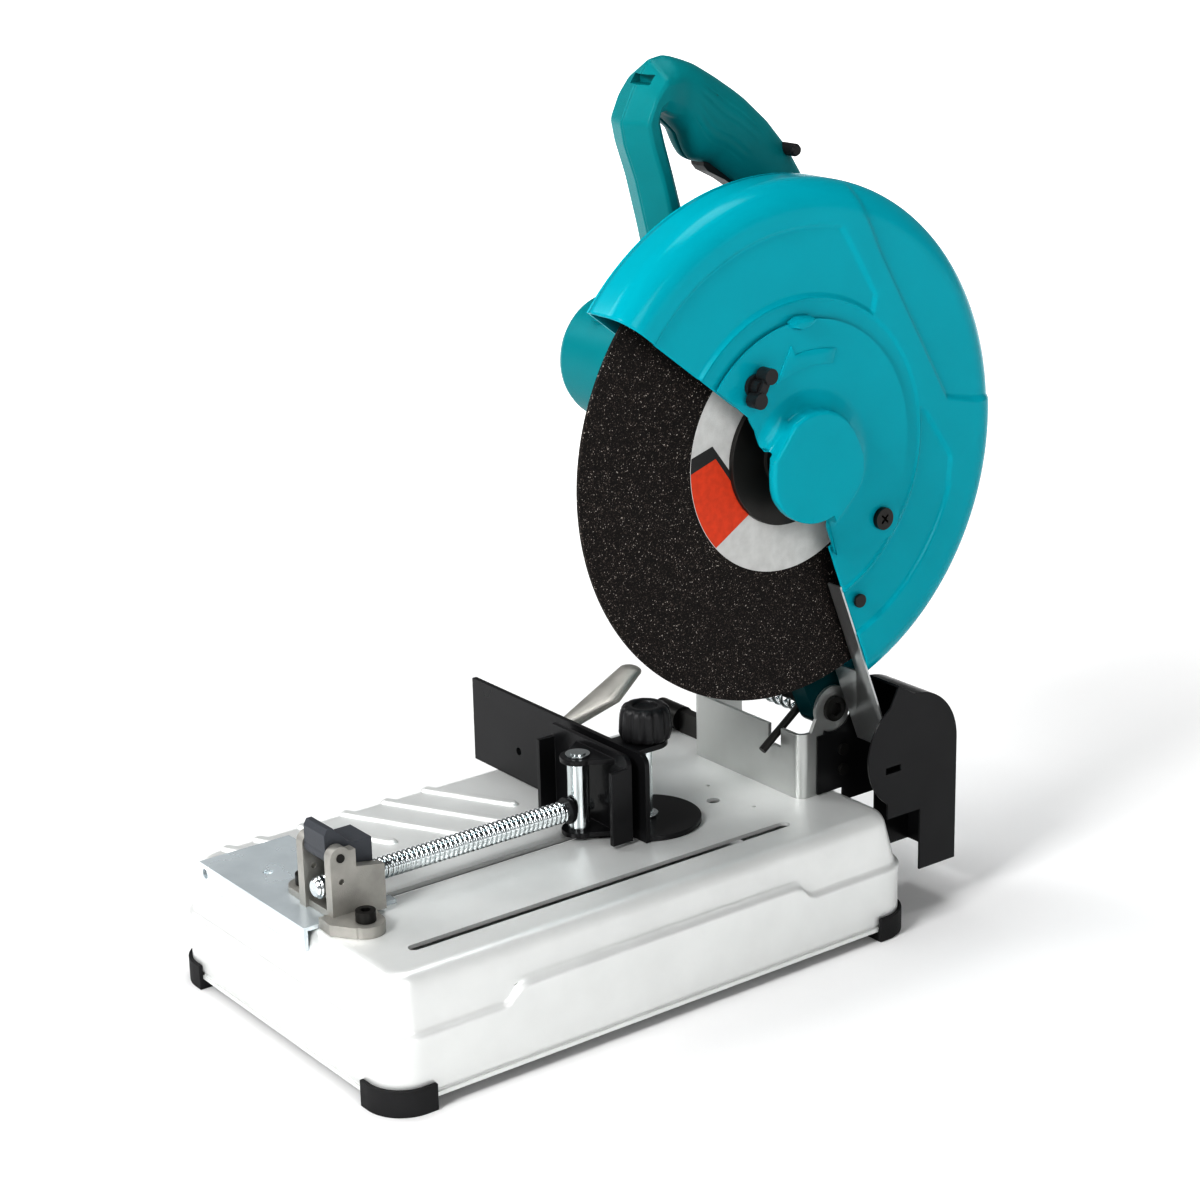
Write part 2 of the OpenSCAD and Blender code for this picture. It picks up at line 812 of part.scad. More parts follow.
open_from = 142;
open_to = 291;
module guard_opening(x0, x1) {
    along_x(x0, x1) polygon([spindle_c, spindle_c + 400 * [cos(open_from), sin(open_from)],
        spindle_c + 700 * [cos(216), sin(216)], spindle_c + 400 * [cos(open_to), sin(open_to)]]);
}

module guard_profile(r, depth, round) {
    square([r - round, depth]);
    square([r, depth - round]);
    translate([r - round, depth - round]) circle(round);
}

module wheel_guard() {
    depth = guard_face_x - guard_back_x - 2;
    color("#00a6b6") difference() {
        turned_x(guard_back_x + 2, spindle_c) guard_profile(guard_r, depth, 14);
        turned_x(guard_back_x + 1, spindle_c) guard_profile(guard_r - sheet, depth + 1 - sheet, 13);
        guard_opening(guard_back_x - 5, guard_face_x + 5);
        // opening behind the centre cover
        xcyl(guard_face_x - 5, guard_face_x + 5, spindle_c, 74);
        xcyl(guard_face_x - 9, guard_face_x + 5, cover_pin, 3);
        xcyl(guard_face_x - 9, guard_face_x + 5, wing, 3);
        // pressed groove over the upper front
        intersection() {
            xring(guard_face_x - 0.7, guard_face_x + 1, spindle_c, 161, 158);
            along_x(100, 130) polygon([spindle_c, spindle_c + 400 * [cos(76), sin(76)],
                spindle_c + 500 * [cos(110), sin(110)], spindle_c + 400 * [cos(143), sin(143)]]);
        }
    }
}

module guard_back_plate() {
    color("#009fae") difference() {
        union() {
            difference() {
                xcyl(guard_back_x, guard_back_x + 2, spindle_c, guard_r);
                guard_opening(guard_back_x - 5, guard_back_x + 5);
            }
            xcyl(guard_back_x, guard_back_x + 2, spindle_c, 60);
        }
        xcyl(70, 90, spindle_c, 14);
        driven_mount() xcyl(70, 90, [0, 0], 2.5);
    }
}

module guard_screws() {
    color("#262626") {
        driven_mount() {
            xcyl(71, guard_back_x + 3, [0, 0], 2.5);
            xcyl(guard_back_x + 2, guard_back_x + 5, [0, 0], 4.5);
        }
        xcyl(guard_face_x, guard_face_x + 2.5, [195, 259], 5);
    }
}

// Plate along the guard's lower edge, with a flap that turns sparks down into the catcher
module spark_plate() {
    toward = [cos(open_to), sin(open_to)];
    off = 1.6 * [toward[1], -toward[0]];
    color("#a9adac") {
        spark_strip(103, spindle_c + 108 * toward, spindle_c + 189 * toward, off);
        spark_strip(guard_back_x + 2, spindle_c + 186 * toward, spindle_c + 256 * toward, off);
    }
}
module spark_strip(x0, from, to, off) {
    along_x(x0, guard_face_x - sheet) polygon([from, to, to + off, from + off]);
}

// ---- centre cover ----

module boss_outline(grow) {
    translate(spindle_c) circle(44 + grow);
    polygon([[101 - grow, 392 + grow], [118 - grow, 410 + grow], [130, 416 + grow], [142, 417 + grow],
        [142, 326 - grow], [115 - grow, 335 - grow], [101 - grow, 360]]);
}

module center_cover() {
    low = guard_face_x + gap;
    color("#00abb8") difference() {
        union() {
            difference() {
                xcyl(low, low + sheet, spindle_c, cover_r);
                guard_opening(100, 140);
                along_x(100, 140) polygon([[150, 301], [245, 294], [245, 250], [150, 250]]);
            }
            xcyl(low, low + sheet, cover_pin, 15);
            along_x(low, low + 15) boss_outline(0);
            along_x(low + 15 - e, low + 17.2) boss_outline(-2.2);
            // lifting lug
            along_x(low, low + 11) translate([130, 466]) square([14, 5]);
        }
        along_x(low - 1, low + 15) boss_outline(-2);
        xcyl(100, 130, cover_pin, 3.6 + fit);
        // open notch round the wing bolt
        translate([0, wing[0], wing[1]]) rotate([46, 0, 0]) along_x(110, 125) {
            circle(4.5);
            translate([-40, -4.5]) square([40, 9]);
        }
    }
}

module cover_pivot_screw() {
    low = guard_face_x - sheet;
    color("#242424") difference() {
        union() {
            xcyl(low - 5, guard_face_x + 3, cover_pin, 3);
            xcyl(guard_face_x - e, guard_face_x + sheet + 2 * gap, cover_pin, 3.6);
            xcyl(guard_face_x + sheet + 2 * gap, guard_face_x + 6, cover_pin, 8);
        }
        for (a = [45, 135]) translate([guard_face_x + 5, cover_pin[0], cover_pin[1]]) rotate([a, 0, 0])
            cube([4, 1.4, 8], center = true);
    }
}

module wing_bolt() {
    low = guard_face_x + sheet + 2 * gap;
    color("#1b1a19") {
        xcyl(guard_face_x - 7, low + 1, wing, 3 - fit);
        xcyl(low, low + 3, wing, 8);
        xcyl(low, low + 9, wing, 5.5);
        for (s = [60, 240]) translate([low + 7, wing[0], wing[1]]) rotate([s, 0, 0]) {
            translate([0, 9, 0]) rotate([0, 90, 0]) translate([0, 0, -3.5]) cylinder(h = 10, r = 5.5);
            translate([-3.5, 0, -3]) cube([8, 9, 6]);
        }
    }
}

// ---- handle ----

grip_half = 22;
// Rounds an outline by cutting each corner at a quarter of its sides
function cut_corners(p) = [for (i = [0:len(p) - 1]) let(a = p[i], b = p[(i + 1) % len(p)])
    each [0.75 * a + 0.25 * b, 0.25 * a + 0.75 * b]];
module grip_outline() {
    difference() {
        polygon(cut_corners(cut_corners([[108, 430], [93, 506], [83, 548], [68, 588], [70, 604], [86, 636],
            [97, 646], [114, 642], [149, 624], [181, 602], [203, 582], [221, 556], [232, 526],
            [234, 496], [224, 468], [200, 446], [150, 420]])));
        polygon(cut_corners(cut_corners([[125, 430], [113, 510], [104, 548], [92, 588], [86, 606],
            [95, 606], [108, 594], [121, 584], [121, 571], [161, 549], [188, 530], [202, 510],
            [202, 494], [192, 480], [172, 464], [140, 440]])));
        translate(motor) circle(motor_r);
    }
}

// Space inside the grip for the switch and trigger
module grip_pocket() {
    along_x(6, 24) polygon([[129, 558], [129, 590], [150, 596], [190, 576], [186, 548], [172, 532],
        [150, 538]]);
}

module handle_half(x0, x1, skin) {
    difference() {
        union() {
            along_x(x0, x1) grip_outline();
            // thinner outer layer for the stepped edge
            along_x(skin[0], skin[1]) intersection() {
                translate([0, 1.5]) grip_outline();
                translate([0, -1.5]) grip_outline();
            }
        }
        grip_pocket();
        for (p = grip_screws) {
            xcyl(-10, 32, p, 2.2);
            xcyl(-10, -3, p, 4.2);
        }
        xcyl(18, 60, button_at, button_r + fit);
        ycyl(224, 250, [grip_x, gland_z], 7.5);
    }
}

grip_screws = [[138, 612], [86, 606], [212, 520], [109, 478], [199, 462]];
trigger_pin = [176, 556];
button_at = [203, 570];
button_r = 4.5;
gland_z = 492;
module handle_right() {
    far = grip_x + grip_half;
    color("#178890") handle_half(grip_x, far - 3, [far - 3 - e, far]);
}
module handle_left() {
    far = grip_x - grip_half;
    color("#178890") handle_half(far + 3, grip_x, [far, far + 3 + e]);
}

module handle_screws() {
    color("#262626") for (p = grip_screws) {
        xcyl(-4, 32, p, 2.2);
        xcyl(-5.5, -3, p, 4.2);
    }
}

module trigger() {
    color("#161616") difference() {
        along_x(8, 22) {
            translate(trigger_pin) circle(5);
            polygon([[133, 574], [134.5, 564.5], [138, 560.5], [153, 553], [166, 544.5], [178, 551],
                [176, 561], [150, 574], [138, 577]]);
        }
        xcyl(0, 30, trigger_pin, 2.5 + fit);
    }
}

module switch_body() {
    color("#3d3d3d") {
        along_x(6, 24) polygon([[150, 596], [188, 574], [185, 569], [147, 589]]);
        xcyl(6, 24, trigger_pin, 2.5);
    }
}

module lock_button() {
    color("#171717") {
        xcyl(26, 40, button_at, button_r);
        xcyl(40 - e, 41.5, button_at, button_r - 0.8);
    }
}

module cord_gland() {
    color("#191919") difference() {
        union() {
            ycyl(224, 244, [grip_x, gland_z], 7.5);
            ycyl(235, 239, [grip_x, gland_z], 10);
        }
        ycyl(236, 250, [grip_x, gland_z], 4.5);
    }
}

// ---- show ----

base_shell();
foot_front_right();
foot_front_left();
foot_rear_right();
foot_rear_left();
hinge_bracket();
pivot_shaft();
pivot_nut();
return_spring();
spark_guard();
spark_guard_screws();
vise_base_plate();
vise_bracket();
vise_bracket_bolts();
flip_nut_pin();
socket_wrench();
guide_plate();
clamp_knob();
clamp_screw();
lock_lever();
lock_lever_stud();
vise_post();
vise_screw();
screw_collar();
vise_plate();
flip_nut();
stop_lever();
gear_housing();
gear_cover();
motor_housing();
brush_caps();
carbon_brushes();
stator_core();
motor_bearings();
spindle_bearings();
armature_shaft();
armature_core();
commutator();
cooling_fan();
spindle();
driven_gear();
inner_flange();
cutting_wheel();
outer_flange();
arbor_bolt();
wheel_guard();
guard_back_plate();
guard_screws();
spark_plate();
center_cover();
cover_pivot_screw();
wing_bolt();
shaft_lock();
handle_left();
handle_right();
handle_screws();
trigger();
switch_body();
lock_button();
cord_gland();
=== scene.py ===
import bpy, bmesh, json, math
import numpy as np
from mathutils import Matrix, Vector

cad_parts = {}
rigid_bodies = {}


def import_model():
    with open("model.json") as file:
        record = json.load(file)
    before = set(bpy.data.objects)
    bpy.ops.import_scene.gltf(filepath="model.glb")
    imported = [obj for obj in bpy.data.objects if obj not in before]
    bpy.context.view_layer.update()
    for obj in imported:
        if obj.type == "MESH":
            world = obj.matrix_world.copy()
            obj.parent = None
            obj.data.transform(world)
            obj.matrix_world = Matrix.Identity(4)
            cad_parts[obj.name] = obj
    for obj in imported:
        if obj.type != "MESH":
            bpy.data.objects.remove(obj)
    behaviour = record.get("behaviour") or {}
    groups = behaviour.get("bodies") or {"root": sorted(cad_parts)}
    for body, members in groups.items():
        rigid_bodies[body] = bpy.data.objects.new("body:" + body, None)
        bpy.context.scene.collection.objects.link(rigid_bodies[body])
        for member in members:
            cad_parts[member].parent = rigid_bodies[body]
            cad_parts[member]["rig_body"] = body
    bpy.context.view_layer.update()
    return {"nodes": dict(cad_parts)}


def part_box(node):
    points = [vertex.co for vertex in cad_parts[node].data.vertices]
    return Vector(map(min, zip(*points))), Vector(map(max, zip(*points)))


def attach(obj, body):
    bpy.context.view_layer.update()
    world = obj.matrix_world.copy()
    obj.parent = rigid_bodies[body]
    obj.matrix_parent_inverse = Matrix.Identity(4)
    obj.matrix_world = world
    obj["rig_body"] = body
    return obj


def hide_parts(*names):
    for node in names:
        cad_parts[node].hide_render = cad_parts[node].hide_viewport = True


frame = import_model()
nodes = frame["nodes"]

# places that several sections share, in millimetres
hub = (141.0, 373.0)  # the wheel's axis, as (y, z)
table_z = 94.0
guard_r = 191.0
guard_face_x = 118.0
cover_x = guard_face_x + 1.9  # outer face of the centre cover's disc
boss_x = 135.5  # outer face of the boss over the wheel's bolt
label_x = 99.5  # right side of the wheel, where its paper label lies
grip_x = 15.0  # parting plane of the handle

# ---- pressed base ----
# One deep drawing in sheet steel: a lip at the floor, a bead round the wall that steps up along the
# wheel side, a drafted wall and a table with slanting grip ribs and two slots.
# Sprayed with silver enamel, which is slightly grainy.

def paint(name, colour, rough=0.4, metal=0.0, mottle=0.06, mottle_scale=18.0, grain=0.0, grain_scale=900.0,
          stretch=(1, 1, 1), coat=0.0, shine=0.3):
    """A finish: base colour darkened and lightened by broad noise, roughness by the same noise, and a fine
    bump of the grain size given, all on object coordinates in metres."""
    m = bpy.data.materials.new(name)
    m.use_nodes = True
    nt = m.node_tree
    bsdf = nt.nodes["Principled BSDF"]
    coord = nt.nodes.new("ShaderNodeTexCoord")
    place = nt.nodes.new("ShaderNodeMapping")
    place.inputs["Scale"].default_value = stretch
    nt.links.new(coord.outputs["Object"], place.inputs["Vector"])
    broad = nt.nodes.new("ShaderNodeTexNoise")
    broad.inputs["Scale"].default_value = mottle_scale
    broad.inputs["Detail"].default_value = 6
    nt.links.new(place.outputs["Vector"], broad.inputs["Vector"])
    ramp = nt.nodes.new("ShaderNodeValToRGB")
    for stop, k in zip(ramp.color_ramp.elements, (1 - mottle, 1 + mottle)):
        stop.color = (*[min(1, c * k) for c in colour], 1)
    ramp.color_ramp.elements[0].position = 0.35
    ramp.color_ramp.elements[1].position = 0.65
    nt.links.new(broad.outputs["Fac"], ramp.inputs["Fac"])
    nt.links.new(ramp.outputs["Color"], bsdf.inputs["Base Color"])
    gloss = nt.nodes.new("ShaderNodeMapRange")
    gloss.inputs["To Min"].default_value = max(0.02, rough - 0.06)
    gloss.inputs["To Max"].default_value = rough + 0.06
    nt.links.new(broad.outputs["Fac"], gloss.inputs["Value"])
    nt.links.new(gloss.outputs["Result"], bsdf.inputs["Roughness"])
    bsdf.inputs["Metallic"].default_value = metal
    bsdf.inputs["Specular IOR Level"].default_value = shine
    bsdf.inputs["Coat Weight"].default_value = coat
    bsdf.inputs["Coat Roughness"].default_value = 0.12
    if grain:
        fine = nt.nodes.new("ShaderNodeTexNoise")
        fine.inputs["Scale"].default_value = grain_scale
        fine.inputs["Detail"].default_value = 2
        nt.links.new(place.outputs["Vector"], fine.inputs["Vector"])
        bump = nt.nodes.new("ShaderNodeBump")
        bump.inputs["Strength"].default_value = grain
        bump.inputs["Distance"].default_value = 0.0004
        nt.links.new(fine.outputs["Fac"], bump.inputs["Height"])
        nt.links.new(bump.outputs["Normal"], bsdf.inputs["Normal"])
    return m


def smoothed(o, angle):
    """Shades a piece smooth, except over edges sharper than the angle given in degrees."""
    o.data.polygons.foreach_set("use_smooth", [True] * len(o.data.polygons))
    o.data.set_sharp_from_angle(angle=math.radians(angle))
    return o


def skin(name, P, wrap_u=False, wrap_v=False, angle=35.0):
    """A mesh over a grid of points P[u, v]: each square of neighbours is one face. Points in millimetres."""
    nu, nv = P.shape[:2]
    index = np.arange(nu * nv).reshape(nu, nv)
    a = np.vstack([index, index[:1]]) if wrap_u else index
    a = np.hstack([a, a[:, :1]]) if wrap_v else a
    quads = np.stack([a[:-1, :-1], a[1:, :-1], a[1:, 1:], a[:-1, 1:]], -1).reshape(-1, 4)
    me = bpy.data.meshes.new(name)
    me.from_pydata((P.reshape(-1, 3) / 1000).tolist(), [], quads.tolist())
    bm = bmesh.new()
    bm.from_mesh(me)
    bmesh.ops.remove_doubles(bm, verts=bm.verts, dist=2e-6)
    bmesh.ops.dissolve_degenerate(bm, edges=bm.edges, dist=1e-7)
    bm.to_mesh(me)
    bm.free()
    o = bpy.data.objects.new(name, me)
    bpy.context.scene.collection.objects.link(o)
    return smoothed(o, angle)


def sheet(o, thickness):
    """Gives an open skin a sheet's thickness in millimetres, inwards from its outer face."""
    fold = o.modifiers.new("sheet", "SOLIDIFY")
    fold.thickness = thickness / 1000
    fold.offset = -1


def outward(o):
    """Turns the faces of a closed mesh outwards."""
    bm = bmesh.new()
    bm.from_mesh(o.data)
    bmesh.ops.recalc_face_normals(bm, faces=bm.faces)
    bm.to_mesh(o.data)
    bm.free()
    return o


def fitted(o, body, material, *stands_for):
    """The piece gets its finish, rides on its body and stands for its CAD nodes."""
    o.data.materials.clear()
    o.data.materials.append(material)
    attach(o, body)
    if stands_for:
        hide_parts(*stands_for)
    return o


def settled(o):
    """Applies the piece's modifiers."""
    dg = bpy.context.evaluated_depsgraph_get()
    me = bpy.data.meshes.new_from_object(o.evaluated_get(dg))
    o.modifiers.clear()
    o.data = me
    return o


def corner_rect(half_x, half_y, r, n_corner=16, n_x=40, n_y=70):
    """Points round a rectangle with round corners, anticlockwise from the middle of the +X side, always the
    same number, so that rings of different sizes match. Each straight is divided evenly."""
    q = np.linspace(0, np.pi / 2, n_corner, endpoint=False)
    pts = []
    ys = np.linspace(0, 1, n_y // 2, endpoint=False)
    pts.append(np.stack([np.full(len(ys), half_x), ys * (half_y - r)], 1))
    pts.append(np.stack([half_x - r + r * np.cos(q), half_y - r + r * np.sin(q)], 1))
    xs = np.linspace(1, -1, n_x, endpoint=False)
    pts.append(np.stack([xs * (half_x - r), np.full(len(xs), half_y)], 1))
    pts.append(np.stack([-(half_x - r) - r * np.sin(q), half_y - r + r * np.cos(q)], 1))
    yl = np.linspace(1, -1, n_y, endpoint=False)
    pts.append(np.stack([np.full(len(yl), -half_x), yl * (half_y - r)], 1))
    pts.append(np.stack([-(half_x - r) - r * np.cos(q), -(half_y - r) - r * np.sin(q)], 1))
    xr = np.linspace(-1, 1, n_x, endpoint=False)
    pts.append(np.stack([xr * (half_x - r), np.full(len(xr), -half_y)], 1))
    pts.append(np.stack([half_x - r + r * np.sin(q), -(half_y - r) - r * np.cos(q)], 1))
    yb = np.linspace(-1, 0, n_y // 2, endpoint=False)
    pts.append(np.stack([np.full(len(yb), half_x), yb * (half_y - r)], 1))
    return np.concatenate(pts)


def smooth_step(v):
    """0 below 0, 1 above 1, an easy S between."""
    v = np.clip(v, 0, 1)
    return v * v * (3 - 2 * v)


silver = paint("silver_enamel", (0.79, 0.80, 0.79), rough=0.36, metal=0.45, mottle=0.03,
               grain=0.25, grain_scale=2600)
base_half = (142.0, 229.0)
# wall: height and how far in from the outline
wall = [(11, -0.2), (11, 1.2), (12, 1.6), (13.5, 0.5), (15, 0), (30, 0), (48, 0), (51.5, -0.5),
        (53.5, -0.4), (54.6, 0.5), (55.4, 1.8), (56.5, 2.9), (58, 3.4), (64, 4.7), (74, 7.0), (83, 9.1),
        (86.5, 10.1), (89.5, 11.5), (91.8, 13.4), (93.3, 15.6), (table_z, 18.5)]
flat = [(table_z, i) for i in np.arange(21, 141, 2.6)]
rings = []
for z, inset in wall + flat:
    if inset < 19:
        corner_r = max(26 - min(inset, 14), 26 - inset * 0.9)
    else:
        corner_r = max(12 - (inset - 18.5) * 0.5, 1.0)
    ring = corner_rect(base_half[0] - inset, base_half[1] - inset, corner_r)
    zz = np.full(len(ring), float(z))
    if 48 < z < 66 and inset < 6:
        # the bead's step up along the wheel side
        side = smooth_step((ring[:, 0] - 100) / 30)
        rise = smooth_step((ring[:, 1] + 136) / 14) * smooth_step((132 - ring[:, 1]) / 14) * side
        zz = zz + rise * 11 * smooth_step((66 - z) / 6)
    rings.append(np.column_stack([ring, zz]))
P = np.stack(rings)
base = skin("base_pressing", P, wrap_v=True, angle=60)
bm = bmesh.new()
bm.from_mesh(base.data)
rim = [e for e in bm.edges if e.is_boundary and e.verts[0].co.z > 0.09]
bmesh.ops.contextual_create(bm, geom=rim)
bmesh.ops.recalc_face_normals(bm, faces=bm.faces)
bm.to_mesh(base.data)
bm.free()
if sum(p.normal.z * p.area for p in base.data.polygons if p.center.z > 0.0935) < 0:
    base.data.flip_normals()
sheet(base, 2.9)


def cutter(name, outline, z0, z1):
    """A closed prism over a flat outline, from z0 to z1, to cut a slot or hole."""
    n = len(outline)
    low = np.column_stack([outline, np.full(n, z0)])
    high = np.column_stack([outline, np.full(n, z1)])
    me = bpy.data.meshes.new(name)
    side = [[i, (i + 1) % n, n + (i + 1) % n, n + i] for i in range(n)]
    caps = [list(range(n))[::-1], list(range(n, 2 * n))]
    me.from_pydata((np.vstack([low, high]) / 1000).tolist(), [], side + caps)
    o = bpy.data.objects.new(name, me)
    bpy.context.scene.collection.objects.link(o)
    return o


def carved(o, tools):
    """Cuts the tools out of a piece and removes them."""
    for tool in tools:
        b = o.modifiers.new(tool.name, "BOOLEAN")
        b.object = tool
        b.solver = "EXACT"
    settled(o)
    for tool in tools:
        bpy.data.objects.remove(tool)
    return o


def stadium(x, y0, y1, r, n=10):
    """Outline of a slot along Y with round ends."""
    a = np.linspace(0, np.pi, n)
    up = np.column_stack([x + r * np.cos(a), y1 - r + r * np.sin(a)])
    down = np.column_stack([x - r * np.cos(a), y0 + r - r * np.sin(a)])
    return np.vstack([up, down])


def disc(x, y, r, n=24):
    """Points round a circle."""
    a = np.linspace(0, 2 * np.pi, n, endpoint=False)
    return np.column_stack([x + r * np.cos(a), y + r * np.sin(a)])


# the wheel's slot, the vise's slot and the screws' holes
cuts = [stadium(98, -183, 146, 4.5), stadium(18, -150, 32, 4), disc(-108, 200, 4.5), disc(28, 70, 5),
        disc(30, 131, 5), disc(-21, -190, 4), disc(57, -190, 4), disc(5, 146.5, 1.6), disc(58.6, 146.6, 1.6)]
carved(base, [cutter("cut%d" % i, c, table_z - 10, table_z + 6) for i, c in enumerate(cuts)])


def rib(start, length, lean=28.0, half=5.2, height=2.4):
    """A grip rib on the table: its height falls from the middle line to zero at its edge, where it meets the
    table flat. Rows run across the rib."""
    run = np.arange(-half, length + half + 1, 1.6)
    wide = np.linspace(-half, half, 17)
    along, across = np.meshgrid(run, wide, indexing="ij")
    d = np.hypot(np.maximum(np.maximum(-along, along - length), 0), across)
    z = table_z - 0.02 + height * smooth_step((half - d) / 2.6)
    c, s = math.cos(math.radians(lean)), math.sin(math.radians(lean))
    keep = np.minimum(1, half / np.maximum(d, 1e-6))
    on_line = np.clip(along, 0, length)
    along = np.where(d > half, on_line + (along - on_line) * keep, along)
    across = np.where(d > half, across * keep, across)
    x, y = start[0] + along * c - across * s, start[1] + along * s + across * c
    return skin("rib", np.stack([x, y, z], -1))


# the last rib stops short of the guide plate's swing
ribs = {-194: 34, -168: 42, -131: 74, -94: 96, -58: 104, -22: 72}
bm = bmesh.new()
bm.from_mesh(base.data)
for y0, length in ribs.items():
    one = rib((-124, y0), length)
    if one.data.polygons[0].normal.z < 0:
        one.data.flip_normals()
    bm.from_mesh(one.data)
    bpy.data.objects.remove(one)
bm.to_mesh(base.data)
bm.free()
smoothed(base, 50)
fitted(base, "base", silver, "base_shell")

# ---- rubber feet ----
# Moulded black rubber corners that wrap under the lip, each with an upturned tab.

rubber = paint("foot_rubber", (0.022, 0.022, 0.023), rough=0.62, mottle=0.15, grain=0.5, grain_scale=1400)


def eased(node, material, width=0.6, segments=2, keep_angle=32.0):
    """A copy of a CAD part with its loose triangles merged, its flat faces joined and its edges rounded."""
    src = nodes[node]
    me = src.data.copy()
    bm = bmesh.new()
    bm.from_mesh(me)
    bmesh.ops.remove_doubles(bm, verts=bm.verts, dist=1e-6)
    bmesh.ops.dissolve_limit(bm, angle_limit=math.radians(0.6), verts=bm.verts, edges=bm.edges)
    for f in bm.faces:
        f.smooth = True
    bm.to_mesh(me)
    bm.free()
    o = bpy.data.objects.new(node + "_eased", me)
    bpy.context.scene.collection.objects.link(o)
    if width:
        b = o.modifiers.new("ease", "BEVEL")
        b.width = width / 1000
        b.segments = segments
        b.limit_method = "ANGLE"
        b.angle_limit = math.radians(keep_angle)
        b.use_clamp_overlap = True
        flat = o.modifiers.new("flat", "WEIGHTED_NORMAL")
        flat.keep_sharp = True
        settled(o)
    smoothed(o, keep_angle)
    return fitted(o, src["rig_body"], material, node)


for foot in ("foot_front_right", "foot_front_left", "foot_rear_right", "foot_rear_left"):
    eased(foot, rubber, 1.6, 3)

# ---- tilt bracket, shaft and spring ----
# Folded zinc-grey steel welded to the table, a hexagon-socket shaft through its ears, and a coil
# spring of drawn wire.

grey_plate = paint("bracket_enamel", (0.50, 0.51, 0.50), rough=0.38, metal=0.8, mottle=0.05,
                   grain=0.2, grain_scale=2200)
dark_steel = paint("blackened_steel", (0.045, 0.044, 0.042), rough=0.38, metal=0.7, mottle=0.2, grain=0.15)
bright = paint("bright_zinc", (0.72, 0.76, 0.77), rough=0.2, metal=1.0, mottle=0.06, mottle_scale=60,
               grain=0.08, grain_scale=1500)
eased("hinge_bracket", grey_plate, 0.8)
eased("pivot_shaft", dark_steel, 0.5)
eased("pivot_nut", bright, 0.5)
eased("stop_lever", dark_steel, 0.4)


def tube(name, path, r, sides=12, closed_ends=True):
    """A round bar along a path: each ring of points lies square to the path, turned as little as possible."""
    path = np.asarray(path, float)
    t = np.gradient(path, axis=0)
    t /= np.linalg.norm(t, axis=1)[:, None]
    side = np.cross(t, np.array([0.31, 0.53, 0.79]))
    side /= np.linalg.norm(side, axis=1)[:, None]
    other = np.cross(t, side)
    r = np.broadcast_to(np.asarray(r, float), (len(path),))
    a = np.linspace(0, 2 * np.pi, sides, endpoint=False)
    spoke = np.cos(a)[None, :, None] * side[:, None] + np.sin(a)[None, :, None] * other[:, None]
    P = path[:, None] + r[:, None, None] * spoke
    if closed_ends:
        P = np.concatenate([np.repeat(path[:1, None], sides, 1), P, np.repeat(path[-1:, None], sides, 1)])
    return outward(skin(name, P, wrap_v=True, angle=50))


# the spring's coils lie round the shaft and run between the ends of its CAD box
tilt_axis = (212, 160)
coils, coil_r, wire_r = 8, 12, 1.5
lo, hi = (np.array(v) * 1000 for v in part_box("return_spring"))
s = np.linspace(0, 1, coils * 28 + 1)
a = 2 * np.pi * coils * s
coil = np.column_stack([lo[0] + wire_r + (hi[0] - lo[0] - 2 * wire_r) * s,
                        tilt_axis[0] - coil_r * np.cos(a), tilt_axis[1] + coil_r * np.sin(a)])
spring = tube("spring_coils", coil, wire_r, 10)
fitted(spring, "base", bright, "return_spring")

# ---- spark catcher ----
# Folded sheet, sprayed satin black, screwed to the bracket's ear.

black = paint("black_enamel", (0.014, 0.014, 0.015), rough=0.3, mottle=0.15, grain=0.15,
              grain_scale=1800, coat=0.08, shine=0.25)
eased("spark_guard", black, 0.5)
eased("spark_guard_screws", dark_steel, 0.3)
eased("socket_wrench", dark_steel, 0.6)

# ---- vise ----
# Zinc-plated base plate, die-cast bracket with a flip-up half nut, a rolled thread with a bright finish,
# a turned post and a black jaw.

cast = paint("die_cast_alloy", (0.42, 0.41, 0.385), rough=0.5, metal=0.75, mottle=0.12, mottle_scale=45,
             grain=0.6, grain_scale=1300)
plated = paint("zinc_plate", (0.74, 0.80, 0.83), rough=0.26, metal=0.6, mottle=0.07, mottle_scale=25,
               grain=0.12, grain_scale=1200)
nut_grey = paint("nut_grey", (0.075, 0.08, 0.09), rough=0.42, metal=0.3, mottle=0.1, grain=0.3)
eased("vise_base_plate", plated, 0.6)
eased("vise_bracket", cast, 1.3, 3)
eased("vise_bracket_bolts", dark_steel, 0.5)
eased("flip_nut_pin", dark_steel, 0.4)
eased("flip_nut", nut_grey, 0.9)
eased("vise_post", bright, 0.6)
eased("vise_plate", black, 0.8)
eased("screw_collar", black, 0.4)
# the thread: radius 6.9 at the root and 8 at the crest, a ridge that climbs one pitch each turn, a
# chamfered front end, then a plain neck and a thinner tip
lo, hi = (np.array(v) * 1000 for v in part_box("vise_screw"))
screw_x, screw_z = 18, 116
pitch, thread_end, sides = 4.0, 1.0, 40
y = np.arange(lo[1], thread_end, pitch / 10)
a = np.linspace(0, 2 * np.pi, sides, endpoint=False)
phase = (y[:, None] / pitch - a[None] / (2 * np.pi)) % 1.0
ridge = 1 - np.clip(np.abs(phase - 0.5) * 4 - 0.7, 0, 1)
r = 6.9 + 1.1 * ridge
r = np.minimum(r, 5.6 + (y[:, None] - lo[1]) * 0.9)
closed = np.zeros((1, sides))
r = np.vstack([closed, r, np.full((2, sides), 6.6), np.full((2, sides), 4.4), closed])
neck_end = thread_end + 3
yy = np.concatenate([[lo[1]], y, [thread_end, neck_end], [neck_end, hi[1]], [hi[1]]])
P = np.stack([screw_x + r * np.cos(a), np.repeat(yy[:, None], sides, 1), screw_z + r * np.sin(a)], -1)
thread = outward(skin("vise_thread", P, wrap_v=True, angle=45))
fitted(thread, "screw", bright, "vise_screw")

